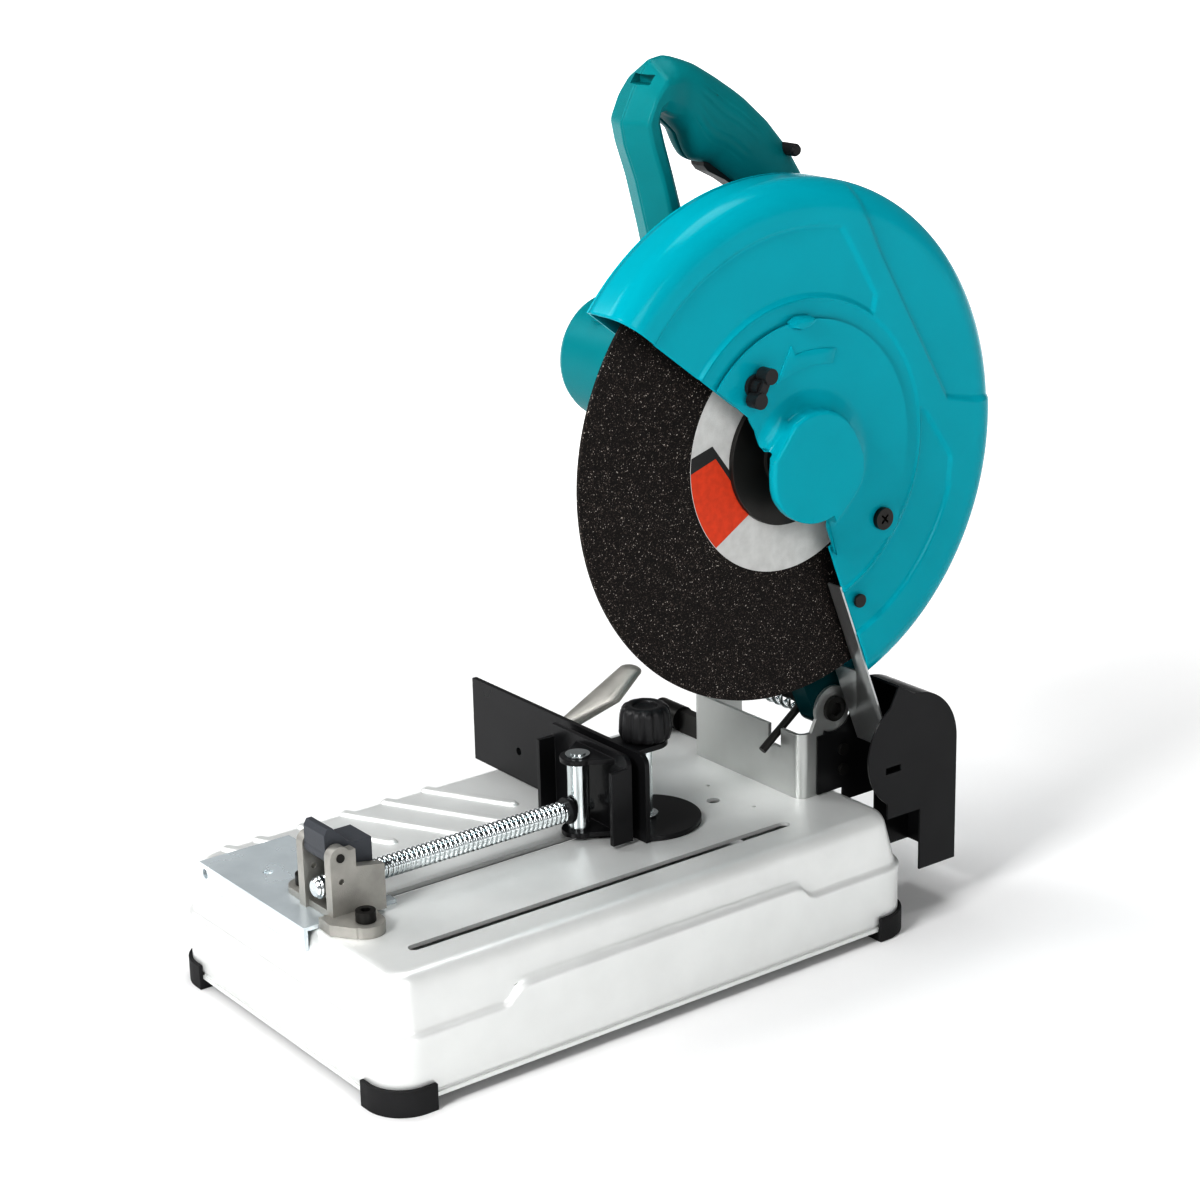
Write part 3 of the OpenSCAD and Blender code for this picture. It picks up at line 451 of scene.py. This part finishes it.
# ---- fence ----
# Folded black plate with a rounded scale end, clamped by a plated screw with a moulded knob, and locked
# by a cast lever.

eased("guide_plate", black, 0.8)
eased("clamp_screw", bright, 0.6)
eased("lock_lever_stud", dark_steel, 0.5)
knob_black = paint("knob_plastic", (0.02, 0.02, 0.021), rough=0.36, mottle=0.12, grain=0.3, grain_scale=1500)
# the knob: a turned profile of (height, radius) with twelve flutes, which fade out towards the top's dish
knob_profile = [(0, 0), (0, 16), (2, 18.4), (6, 19.4), (14, 19.0), (19, 18.6), (22.5, 17.8),
                (24.8, 16.2), (25.8, 14.2), (26, 12.6), (26, 10.2), (25.4, 9.4), (24, 9.0), (24, 6.4),
                (23.4, 5.8), (23.4, 0)]
clamp_pin, flutes = (28, 70), 12
foot_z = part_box("clamp_knob")[0][2] * 1000
zc, rc = np.array(knob_profile).T[:, :, None]
a = np.linspace(0, 2 * np.pi, 12 * flutes, endpoint=False)
flute = 0.5 + 0.5 * np.cos(flutes * a)
depth = np.interp(rc, [0, 13.5, 16, 20], [0, 0, 1.0, 1.8]) * (1 - smooth_step(flute[None] * 1.6))
r = rc - depth
P = np.stack([clamp_pin[0] + r * np.cos(a), clamp_pin[1] + r * np.sin(a),
              np.repeat(zc + foot_z, len(a), 1)], -1)
knob = outward(skin("knob_cap", P, wrap_v=True, angle=50))
fitted(knob, "knob", knob_black, "clamp_knob")

eased("lock_lever", cast, 0)

# ---- gear case and motor ----
# Die-cast case in teal enamel, a moulded motor housing with a domed end, and screwed brush caps.

teal = paint("teal_enamel", (0.0, 0.31, 0.375), rough=0.2, mottle=0.02, grain=0.03, grain_scale=700,
             coat=0.04, shine=0.1)
teal_moulding = paint("teal_moulding", (0.0, 0.20, 0.225), rough=0.34, mottle=0.04, grain=0.25,
                      grain_scale=1600, shine=0.12)
bare = paint("bare_alloy", (0.45, 0.46, 0.45), rough=0.35, metal=0.9, mottle=0.08, grain=0.2)


def darker_below(material, colour, z0, z1):
    """Turns a finish into another colour below a height, blending between z0 and z1 in metres."""
    nt = material.node_tree
    bsdf = nt.nodes["Principled BSDF"]
    above = bsdf.inputs["Base Color"].links[0].from_socket
    coord = nt.nodes.new("ShaderNodeTexCoord")
    split = nt.nodes.new("ShaderNodeSeparateXYZ")
    nt.links.new(coord.outputs["Object"], split.inputs["Vector"])
    height = nt.nodes.new("ShaderNodeMapRange")
    height.inputs["From Min"].default_value = z0
    height.inputs["From Max"].default_value = z1
    nt.links.new(split.outputs["Z"], height.inputs["Value"])
    mix = nt.nodes.new("ShaderNodeMix")
    mix.data_type = "RGBA"
    mix.inputs[6].default_value = (*colour, 1)
    nt.links.new(height.outputs["Result"], mix.inputs[0])
    nt.links.new(above, mix.inputs[7])
    nt.links.new(mix.outputs[2], bsdf.inputs["Base Color"])
    return material


# the case's colour blends from teal to near black going down from 245 mm to 200 mm high
case_teal = darker_below(
    paint("case_enamel", (0.0, 0.31, 0.375), rough=0.24, mottle=0.02, grain=0.03, grain_scale=700, shine=0.1),
    (0.0, 0.035, 0.04), 0.2, 0.245)
eased("gear_housing", case_teal, 1.5, 3)
eased("gear_cover", bare, 0.8)
eased("motor_housing", teal_moulding, 0.8)
eased("brush_caps", knob_black, 0.4)
eased("shaft_lock", knob_black, 0.6)

# ---- working parts inside ----
# Machined shafts and gear, laminated cores, copper commutator and a moulded fan.

machined = paint("machined_steel", (0.5, 0.5, 0.5), rough=0.28, metal=1.0, mottle=0.05, grain=0.1)
core_steel = paint("core_steel", (0.2, 0.17, 0.15), rough=0.5, metal=0.6, mottle=0.1,
                   stretch=(30, 1, 1), grain=0.4)
copper = paint("copper", (0.72, 0.36, 0.2), rough=0.3, metal=1.0, mottle=0.1, grain=0.1)
soot = paint("carbon", (0.03, 0.03, 0.03), rough=0.7, mottle=0.2, grain=0.5)
for part, finish in {"armature_shaft": machined, "spindle": machined, "driven_gear": machined,
                     "motor_bearings": machined, "spindle_bearings": machined, "stator_core": core_steel,
                     "armature_core": core_steel, "commutator": copper, "cooling_fan": knob_black,
                     "carbon_brushes": soot, "switch_body": knob_black, "inner_flange": dark_steel}.items():
    nodes[part].data.materials.clear()
    nodes[part].data.materials.append(finish)

# ---- abrasive wheel ----
# Black bonded grit with bright grains, a printed paper label in the middle, and black steel flanges.

def grit():
    """Dark bond with sharp pale grains: a cell pattern gives each grain a random value, of which the highest
    are bright, and a second value that raises it in a bump."""
    m = bpy.data.materials.new("bonded_grit")
    m.use_nodes = True
    nt = m.node_tree
    bsdf = nt.nodes["Principled BSDF"]
    coord = nt.nodes.new("ShaderNodeTexCoord")
    cells = nt.nodes.new("ShaderNodeTexVoronoi")
    cells.inputs["Scale"].default_value = 1250
    nt.links.new(coord.outputs["Object"], cells.inputs["Vector"])
    pick = nt.nodes.new("ShaderNodeSeparateColor")
    nt.links.new(cells.outputs["Color"], pick.inputs["Color"])
    ramp = nt.nodes.new("ShaderNodeValToRGB")
    stops = [(0.0, (0.004, 0.003, 0.003)), (0.70, (0.012, 0.009, 0.008)), (0.88, (0.04, 0.031, 0.026)),
             (0.97, (0.11, 0.09, 0.08)), (1.0, (0.5, 0.46, 0.42))]
    ramp.color_ramp.elements[0].color = (*stops[0][1], 1)
    ramp.color_ramp.elements[1].position = 1.0
    ramp.color_ramp.elements[1].color = (*stops[-1][1], 1)
    for p, c in stops[1:-1]:
        e = ramp.color_ramp.elements.new(p)
        e.color = (*c, 1)
    nt.links.new(pick.outputs["Red"], ramp.inputs["Fac"])
    nt.links.new(ramp.outputs["Color"], bsdf.inputs["Base Color"])
    bump = nt.nodes.new("ShaderNodeBump")
    bump.inputs["Strength"].default_value = 0.9
    bump.inputs["Distance"].default_value = 0.0006
    nt.links.new(pick.outputs["Green"], bump.inputs["Height"])
    nt.links.new(bump.outputs["Normal"], bsdf.inputs["Normal"])
    bsdf.inputs["Roughness"].default_value = 0.65
    bsdf.inputs["Specular IOR Level"].default_value = 0.25
    return m


def turned(name, xs, rs, centre, n=96, angle=40):
    """A profile of (x, radius) turned about an axis along X through centre (y, z)."""
    a = np.linspace(0, 2 * np.pi, n, endpoint=False)
    xs, rs = np.asarray(xs, float), np.asarray(rs, float)
    P = np.stack([np.repeat(xs[:, None], n, 1), centre[0] + rs[:, None] * np.cos(a),
                  centre[1] + rs[:, None] * np.sin(a)], -1)
    return skin(name, P, wrap_v=True, angle=angle)


wheel_r, bore_r, wheel_left, rim_ease = 177.5, 12.7, label_x - 3, 0.3
wheel = turned("grit_disc",
               [wheel_left, wheel_left, wheel_left + rim_ease, label_x - rim_ease, label_x, label_x,
                wheel_left],
               [bore_r, wheel_r - rim_ease, wheel_r, wheel_r, wheel_r - rim_ease, bore_r, bore_r], hub, 256)
outward(wheel)
fitted(wheel, "wheel", grit(), "cutting_wheel")
paper = paint("label_paper", (0.50, 0.50, 0.49), rough=0.7, mottle=0.06, mottle_scale=120, grain=0.5,
              grain_scale=1800)
label_r = (50, 84)
paper_x = label_x + 0.12
label = outward(turned("wheel_label", [label_x, paper_x, paper_x, label_x, label_x],
                       [label_r[1], label_r[1], label_r[0], label_r[0], label_r[1]], hub, 160))
fitted(label, "wheel", paper)


def patch(name, outline, x, colour):
    """A printed patch: one flat face over the outline's points, at x."""
    outline = np.asarray(outline, float)
    n = len(outline)
    me = bpy.data.meshes.new(name)
    P = np.column_stack([np.full(n, x), outline])
    me.from_pydata((P / 1000).tolist(), [], [list(range(n))])
    o = bpy.data.objects.new(name, me)
    bpy.context.scene.collection.objects.link(o)
    if me.polygons[0].normal.x < 0:
        me.flip_normals()
    ink = paint(name + "_ink", colour, rough=0.6, mottle=0.08, mottle_scale=200, grain=0.4, grain_scale=1800)
    return fitted(o, "wheel", ink)


def rim_arc(a0, a1, r, n=14):
    """Points on a circle round the hub between two angles in degrees."""
    a = np.radians(np.linspace(a0, a1, n))
    return np.column_stack([hub[0] + r * np.cos(a), hub[1] + r * np.sin(a)])


print_r = label_r[1] - 0.4
shared_edge = [[110.9, 336.8], [79.2, 380.4]]
orange = patch("label_block", np.vstack([rim_arc(180, 222, print_r), shared_edge]), paper_x + 0.04,
               (0.55, 0.06, 0.02))
corner = patch("label_corner",
               np.vstack([rim_arc(180, 172.5, print_r), [[76.5, 389.5], [114.5, 339.0]], shared_edge]),
               paper_x + 0.06, (0.03, 0.03, 0.03))
eased("outer_flange", dark_steel, 0.6)
eased("arbor_bolt", dark_steel, 0.5)

# ---- wheel guard ----
# A deep pressing in teal enamel: round shoulder, a low ring about the hub, two sunk panels and a step
# across the back, open from the front round to the bottom.

def inside(pts, y, z):
    """Signed distance from points to a closed outline, positive inside."""
    pts = np.asarray(pts, float)
    a, b = pts, np.roll(pts, -1, 0)
    d = b - a
    py, pz = y[..., None] - a[:, 0], z[..., None] - a[:, 1]
    t = np.clip((py * d[:, 0] + pz * d[:, 1]) / (d ** 2).sum(1), 0, 1)
    dist = np.hypot(py - t * d[:, 0], pz - t * d[:, 1]).min(-1)
    above = (a[:, 1] > z[..., None]) != (b[:, 1] > z[..., None])
    dz = np.where(d[:, 1] == 0, 1e-9, d[:, 1])
    cross = y[..., None] < a[:, 0] + d[:, 0] * (z[..., None] - a[:, 1]) / dz
    odd = (above & cross).sum(-1) % 2 == 1
    return np.where(odd, dist, -dist)


panel_r, ring_r = 113, 112  # inner rim of the panels, and the low ring's outer rim
cover_hole_r = 74.0
open_from, open_to = -69, 142  # the pressing's two ends, in degrees round the hub
upper_panel = np.vstack([rim_arc(146, 77, 160, 40), [[187, 514], [209, 478], [206, 466]],
                         rim_arc(54, 146, panel_r, 40)])
lower_panel = np.vstack([rim_arc(3, -14, panel_r, 10)[:1], [[253, 391], [259, 386], [284, 350], [282, 330]],
                         rim_arc(-17, -80, 149, 30), rim_arc(-80, 0, panel_r, 30)])
back_step = np.array([[187, 600], [191, 552], [214, 506], [279, 394], [306, 388], [420, 380], [420, 600]])
# the section: a straight rim, a quarter-round shoulder and a flat face, as (radius, x) from the back inwards
shoulder_r, rim_rows = 20, 6
angles = np.radians(np.linspace(open_from, open_to, 320))
shoulder = np.radians(np.linspace(0, 90, 12))
face_r = np.append(np.arange(guard_r - shoulder_r - 2, cover_hole_r + 0.5, -1.25), cover_hole_r)
rim_r = np.concatenate([np.full(rim_rows, guard_r),
                        guard_r - shoulder_r + shoulder_r * np.cos(shoulder),
                        face_r])
rim_x = np.concatenate([np.linspace(78.2, guard_face_x - shoulder_r - 1, rim_rows),
                        guard_face_x - shoulder_r + shoulder_r * np.sin(shoulder),
                        np.full(len(face_r), guard_face_x)])
Y = hub[0] + rim_r[None] * np.cos(angles)[:, None]
Z = hub[1] + rim_r[None] * np.sin(angles)[:, None]
face = smooth_step((rim_x[None] - 100) / 14) * np.ones_like(Y)
# sunk 2.2 mm inside each panel and behind the step, and 1.4 mm in the ring
sunk = sum(2.2 * smooth_step(inside(line, Y, Z) / soft + 0.5)
           for line, soft in ((upper_panel, 2.2), (lower_panel, 2.2), (back_step, 2.4)))
sunk = sunk + 1.4 * smooth_step((ring_r - rim_r[None]) / 2.2)
X = rim_x[None] - sunk * face
P = np.stack([X, Y, Z], -1)
guard = skin("guard_pressing", P, angle=60)
if guard.data.polygons[len(guard.data.polygons) // 2].normal.x < 0:
    guard.data.flip_normals()
sheet(guard, 1.6)
settled(guard)
fitted(guard, "head", teal, "wheel_guard")
eased("guard_back_plate", teal, 0.4)
eased("guard_screws", dark_steel, 0.4)
eased("spark_plate", paint("strip_steel", (0.55, 0.56, 0.56), rough=0.3, metal=0.9, grain=0.1), 0.2)

# ---- centre cover ----
# A smaller teal pressing that swings on one screw and is held by a black wing bolt, drawn out to a
# smooth boss over the wheel's bolt.

def reach(outline, a):
    """Distance from the hub to a closed outline along each angle: the furthest crossing of each ray."""
    p = np.asarray(outline, float) - np.array(hub)
    q = np.roll(p, -1, 0)
    d = q - p
    c, s = np.cos(a)[:, None], np.sin(a)[:, None]
    den = c * d[:, 1] - s * d[:, 0]
    den = np.where(np.abs(den) < 1e-9, 1e-9, den)
    t = (p[:, 0] * d[:, 1] - p[:, 1] * d[:, 0]) / den
    u = (p[:, 0] * s - p[:, 1] * c) / den
    return np.where((u >= 0) & (u <= 1) & (t > 0), t, 0).max(1)


def eased_ring(v, k):
    """Rounds a ring of values by averaging each with its k neighbours on both sides."""
    w = np.hanning(2 * k + 3)[1:-1]
    w /= w.sum()
    return np.convolve(np.concatenate([v[-k:], v, v[:k]]), w, "valid")


a = np.radians(np.linspace(open_from, open_from + 360, 420, endpoint=False))
deg = np.degrees(a)
# rim of the boss's flat face, and the line where its flank meets the disc
face_line = [(101.7, 380.5), (101, 370), (101.6, 360.4), (104, 352), (108.4, 344.3), (116, 337),
             (126.6, 331.2), (141, 326.5), (155.6, 324.2), (167, 334), (177.6, 344.8), (183, 352.5),
             (185.5, 361.3), (184.5, 372), (180.8, 381.3), (175.5, 391), (168.2, 399.8), (160, 405.5),
             (150.6, 408.8), (141, 409.8), (131.5, 408.6), (125.5, 406.5), (120.4, 403.9)]
foot_line = [(99, 381), (99.5, 396.2), (107.5, 406.6), (117, 414), (128.3, 419.3), (140, 421.5),
             (152.4, 420.6), (167, 416.5), (180.1, 408.5), (189.5, 398.5), (195.9, 386.8), (199.3, 375),
             (200, 362), (198, 352), (193.3, 343.8), (182, 330), (168.4, 318.2), (155.6, 321), (126, 329),
             (107, 343), (99.5, 360)]
face_edge = eased_ring(reach(face_line, a), 2)
foot_edge = np.maximum(eased_ring(reach(foot_line, a), 4), face_edge + 1)
# the disc with its hinge lobe, cut straight below and scooped out beside the boss
cover_r = 97.5
lobe_c, lobe_r = (73.0, -56.0), 17.0  # centre from the hub, and radius
cut_below = 74  # depth of the straight cut under the hub
b = np.cos(a) * lobe_c[0] + np.sin(a) * lobe_c[1]
disc_in = b ** 2 - (lobe_c[0] ** 2 + lobe_c[1] ** 2 - lobe_r ** 2)
lobe = np.where((disc_in > 0) & (b > 0), b + np.sqrt(np.maximum(disc_in, 0)), 0)
edge = np.maximum(cover_r, lobe)
edge = np.minimum(edge, np.where(np.sin(a) < -0.2, cut_below / np.maximum(-np.sin(a), 0.2), 999))
scoop = np.interp(deg, [open_to, 144, 148, 154, 160], [63, 60, 51.5, 46, 42])
edge = np.where(deg > open_to, np.minimum(scoop, np.where(deg > 160, face_edge, 999)),
                np.maximum(edge, foot_edge + 0.1))
# the flank falls from the face's rounding to the disc: x = flank_x - drop k^0.9 at k^2.2 of the way out
round_r, flank_x = 3, 129.6
drop = flank_x - cover_x
# towards the open side the sheet ends along the boss, so its free edge climbs the flank to the face
flank = np.clip((edge - face_edge) / (foot_edge - face_edge), 0, 1) ** (1 / 2.2)
climb = np.where(deg > open_to, flank_x - drop * flank ** 0.9, cover_x)
climb = eased_ring(np.where(deg > 168, 131, climb), 2)
steps = [(boss_x + 0 * a, (face_edge - round_r) * k) for k in (0, 0.3, 0.6, 0.85)]
for t in np.radians(np.linspace(0, 80, 8)):
    steps.append((boss_x - 3.5 + 3.5 * math.cos(t) + 0 * a, face_edge - round_r + round_r * math.sin(t)))
for k in np.linspace(0.1, 1, 9):
    steps.append((flank_x - drop * k ** 0.9 + 0 * a, face_edge + (foot_edge - face_edge) * k ** 2.2))
for k in np.linspace(0.06, 1, 14):
    steps.append((cover_x + 0 * a, foot_edge + (edge - foot_edge) * k))
steps = [(np.maximum(x, climb), np.minimum(r, edge)) for x, r in steps]
# a last row turns the free edge in
steps.append((np.maximum(118.35, climb - 1.3), edge + 0.05))
P = np.stack([np.column_stack([x, hub[0] + r * np.cos(a), hub[1] + r * np.sin(a)]) for x, r in steps])
cover = skin("cover_pressing", P, wrap_v=True, angle=55)
if cover.data.polygons[0].normal.x < 0:
    cover.data.flip_normals()
sheet(cover, 1.3)
settled(cover)
fitted(cover, "cover", teal, "center_cover")


def raised(name, outline, x0, height):
    """A low raised shape on a face that looks along +X: its outline at the foot, and the same outline drawn
    in by half of its height at the top."""
    outline = np.asarray(outline, float)
    n = len(outline)
    edge = np.roll(outline, -1, 0) - np.roll(outline, 1, 0)
    normal = np.column_stack([-edge[:, 1], edge[:, 0]]) / np.linalg.norm(edge, axis=1)[:, None]
    after = np.roll(outline, -1, 0)
    turn = np.sign((outline[:, 0] * after[:, 1] - after[:, 0] * outline[:, 1]).sum())
    rows = [np.column_stack([np.full(n, x0 + height * k), outline + turn * normal * height * d])
            for k, d in ((-0.3, 0), (0.5, 0.05), (0.85, 0.2), (1, 0.5))]
    me = bpy.data.meshes.new(name)
    sides = [[r * n + i, r * n + (i + 1) % n, (r + 1) * n + (i + 1) % n, (r + 1) * n + i]
             for r in range(3) for i in range(n)]
    caps = [list(range(3 * n, 4 * n)), list(range(n))[::-1]]
    me.from_pydata((np.vstack(rows) / 1000).tolist(), [], sides + caps)
    o = bpy.data.objects.new(name, me)
    bpy.context.scene.collection.objects.link(o)
    return outward(smoothed(o, 38))


arrow = raised("turning_arrow", [[115.6, 430.2], [128.9, 454.5], [132.7, 447.6], [141, 449], [150.4, 449.3],
                                 [160, 448.5], [169.6, 447], [166.2, 436.8], [156, 438], [146.1, 438],
                                 [137, 436.8], [128.9, 434.7], [122, 432.5]], cover_x, 0.9)
fitted(arrow, "cover", teal)
lift_lug = raised("lift_lug", [[127, 470.5], [129, 466.5], [136, 464.4], [144, 466], [150, 470.5],
                               [145, 473.5], [133, 473.6]], cover_x - 0.3, 5.5)
fitted(lift_lug, "cover", teal)
eased("cover_pivot_screw", dark_steel, 0.4)
eased("wing_bolt", knob_black, 0.8)

# ---- handle ----
# Two moulded teal halves, screwed together along a middle seam: a front strut, a swelling grip with
# moulded ribs, and a back strut down to the motor.

handle_teal = paint("handle_moulding", (0.002, 0.19, 0.205), rough=0.36, mottle=0.04, grain=0.35,
                    grain_scale=1500, shine=0.12)
# outer and inner edge of the loop, (y, z) in pairs, from the front strut's foot over the grip to the back's
loop = np.array([
    (106, 450, 124, 450), (97, 490, 117, 492), (89, 524, 109, 528), (80, 560, 99, 563), (71, 584, 92, 586),
    (68, 600, 88, 601), (79, 622, 89, 606), (92, 641, 94, 606), (106, 643, 103, 599), (128, 635, 114, 589),
    (146, 625, 119, 577), (154, 620, 123, 571), (162, 615, 129, 568), (172, 608, 138, 566),
    (192, 591, 158, 552), (209, 572, 176, 540), (222, 552, 190, 528), (231, 526, 202, 510),
    (233, 497, 203, 494), (225, 470, 193, 481), (203, 447, 175, 467), (175, 425, 150, 450),
    (160, 410, 136, 436)], float)
mid = (loop[:, :2] + loop[:, 2:]) / 2
run = np.concatenate([[0], np.cumsum(np.linalg.norm(np.diff(mid, axis=0), axis=1))])
s = np.arange(0, run[-1], 1.6)
edges = np.column_stack([np.interp(s, run, loop[:, k]) for k in range(4)])
# the edges are rounded by averaging each row with its two neighbours on both sides
w = np.hanning(7)[1:-1]
w /= w.sum()
edges[2:-2] = np.stack([np.convolve(edges[:, k], w, "valid") for k in range(4)], 1)
strut_top, grip_start, grip_end = run[7], run[8], run[14]
on_grip = smooth_step((s - strut_top) / 24)
wide = 22 - 3 * on_grip  # half width
v = np.radians(np.concatenate([[90, 88.6, 86.5, 83.5, 80, 75, 70, 64, 58], np.linspace(52, -52, 44),
                               [-58, -64, -70, -75, -80, -83.5, -86.5, -88.6, -90]]))
# half a section as (share of the width, share of the thickness): on the strut two facets that meet in a
# ridge, a side and an inner face; on the grip a full oval
strut = np.column_stack([np.interp(np.linspace(0, 1, len(v)), [0, 0.34, 0.4, 0.6, 0.72, 0.78, 1], k)
                         for k in ([0, 0.93, 1, 1, 0.85, 0.66, 0], [1, 0.3, 0.1, -0.5, -0.9, -1, -1])])
power = 2 / np.where(v > 0, 2.3, 2.6)
oval = np.column_stack([np.abs(np.cos(v)) ** power, np.sign(v) * np.abs(np.sin(v)) ** power])
half_section = strut + on_grip[:, None, None] * (oval - strut)
half_t = (edges[:, :2] - edges[:, 2:]) / 2
centre = (edges[:, :2] + edges[:, 2:]) / 2
across, rise = wide[:, None] * half_section[..., 0], half_section[..., 1]
# fine grip lines along the sides, fading out at both ends of the grip
on_side = smooth_step((0.62 - np.abs(rise - 0.05)) / 0.12)
span = smooth_step((s - grip_start - 14) / 14) * smooth_step((grip_end - s) / 14)
across += 0.8 * on_side * span[:, None] * (np.abs(np.sin(rise * 13 + s[:, None] * 0.012)) ** 0.7 - 0.5)
# a groove along the parting line
rise *= 1 - 0.09 * np.exp(-(across / 0.8) ** 2)
for node, way in (("handle_right", 1), ("handle_left", -1)):
    P = np.stack([grip_x + way * (across + 0.05), centre[:, :1] + rise * half_t[:, :1],
                  centre[:, 1:] + rise * half_t[:, 1:]], -1)
    ends = [np.repeat(P[k].mean(0)[None, None], P.shape[1], 1) for k in (0, -1)]
    half = outward(skin(node + "_moulding", np.concatenate([ends[0], P, ends[1]]), wrap_v=True, angle=42))
    carved(half, [cutter("hook", [(5, 70), (26, 70), (26, 93), (5, 93)], 624.5, 631)])
    smoothed(half, 42)
    fitted(half, "head", handle_teal, node)
eased("handle_screws", dark_steel, 0.4)
eased("trigger", knob_black, 1.2)
eased("lock_button", knob_black, 0.6)
eased("cord_gland", rubber, 0.6)

# ---- floor, light and camera ----
# A white floor that fades into a white distance, four soft boxes and a long lens.

floor = bpy.data.objects.new("floor", bpy.data.meshes.new("floor"))
floor.data.from_pydata([(-40, -40, 0), (40, -40, 0), (40, 40, 0), (-40, 40, 0)], [], [(0, 1, 2, 3)])
bpy.context.scene.collection.objects.link(floor)
floor_white = bpy.data.materials.new("floor_white")
floor_white.use_nodes = True
floor_nt = floor_white.node_tree
white = floor_nt.nodes["Principled BSDF"]
white.inputs["Base Color"].default_value = (0.85, 0.85, 0.85, 1)
white.inputs["Roughness"].default_value = 0.85
white.inputs["Specular IOR Level"].default_value = 0.1
# the floor glows more the further it lies from the machine, up to 3 m away
spot = floor_nt.nodes.new("ShaderNodeTexCoord")
far = floor_nt.nodes.new("ShaderNodeVectorMath")
far.operation = "LENGTH"
glow = floor_nt.nodes.new("ShaderNodeValToRGB")
glow.color_ramp.elements[0].position = 0.08
glow.color_ramp.elements[0].color = (0.0, 0.0, 0.0, 1)
glow.color_ramp.elements[1].position = 0.9
glow.color_ramp.elements[1].color = (0.9, 0.9, 0.9, 1)
for stop, level in ((0.2, 0.15), (0.4, 0.4)):
    glow.color_ramp.elements.new(stop).color = (level, level, level, 1)
share = floor_nt.nodes.new("ShaderNodeMapRange")
share.inputs["From Max"].default_value = 3.0
floor_nt.links.new(spot.outputs["Object"], far.inputs[0])
floor_nt.links.new(far.outputs["Value"], share.inputs["Value"])
floor_nt.links.new(share.outputs["Result"], glow.inputs["Fac"])
floor_nt.links.new(glow.outputs["Color"], white.inputs["Emission Color"])
white.inputs["Emission Strength"].default_value = 1.0
floor.data.materials.append(floor_white)

# a bright horizon and a dimmer top, by the direction looked in
world = bpy.data.worlds.new("studio")
world.use_nodes = True
sky = world.node_tree
look = sky.nodes.new("ShaderNodeTexCoord")
split = sky.nodes.new("ShaderNodeSeparateXYZ")
sky.links.new(look.outputs["Generated"], split.inputs["Vector"])
shade = sky.nodes.new("ShaderNodeValToRGB")
shade.color_ramp.elements[0].position = 0.0
shade.color_ramp.elements[0].color = (1, 1, 1, 1)
shade.color_ramp.elements[1].position = 0.7
shade.color_ramp.elements[1].color = (0.25, 0.25, 0.25, 1)
sky.links.new(split.outputs["Z"], shade.inputs["Fac"])
sky.links.new(shade.outputs["Color"], sky.nodes["Background"].inputs["Color"])
sky.nodes["Background"].inputs["Strength"].default_value = 0.3
bpy.context.scene.world = world


def soft_light(name, place, aim, size, power):
    """A square soft box at a place, turned to a point."""
    light = bpy.data.lights.new(name, "AREA")
    light.size = size
    light.energy = power
    o = bpy.data.objects.new(name, light)
    bpy.context.scene.collection.objects.link(o)
    o.location = place
    o.rotation_euler = (Vector(aim) - Vector(place)).to_track_quat("-Z", "Y").to_euler()


soft_light("key_box", (0.5, -2.2, 1.9), (0, 0, 0.3), 0.8, 48)
soft_light("right_box", (2.3, -0.5, 1.3), (0, 0, 0.2), 1.0, 14)
soft_light("left_box", (-1.6, -1.2, 1.8), (0, 0, 0.25), 0.9, 14)
soft_light("top_box", (-0.1, 0.3, 2.5), (0, 0, 0.2), 1.0, 16)

# the camera, by the direction it looks from, its roll and its distance from the machine
az, el, roll = (math.radians(v) for v in (53.41, 18.1, 1.33))
back = Vector((math.sin(az) * math.cos(el), -math.cos(az) * math.cos(el), math.sin(el)))
right = Vector((math.cos(az), math.sin(az), 0))
up = back.cross(right)
place = Vector((0, 0, 0.2)) + 0.04225 * right + 0.06726 * up + 1.86073 * back
right, up = math.cos(roll) * right - math.sin(roll) * up, math.sin(roll) * right + math.cos(roll) * up
camera = bpy.data.objects.new("camera", bpy.data.cameras.new("camera"))
camera.data.sensor_width = 36
camera.data.lens = 78.336
bpy.context.scene.collection.objects.link(camera)
camera.matrix_world = Matrix((*zip(right, up, back, place), (0, 0, 0, 1)))
bpy.context.scene.camera = camera
bpy.context.scene.view_settings.view_transform = "Standard"
bpy.context.scene.view_settings.look = "High Contrast"
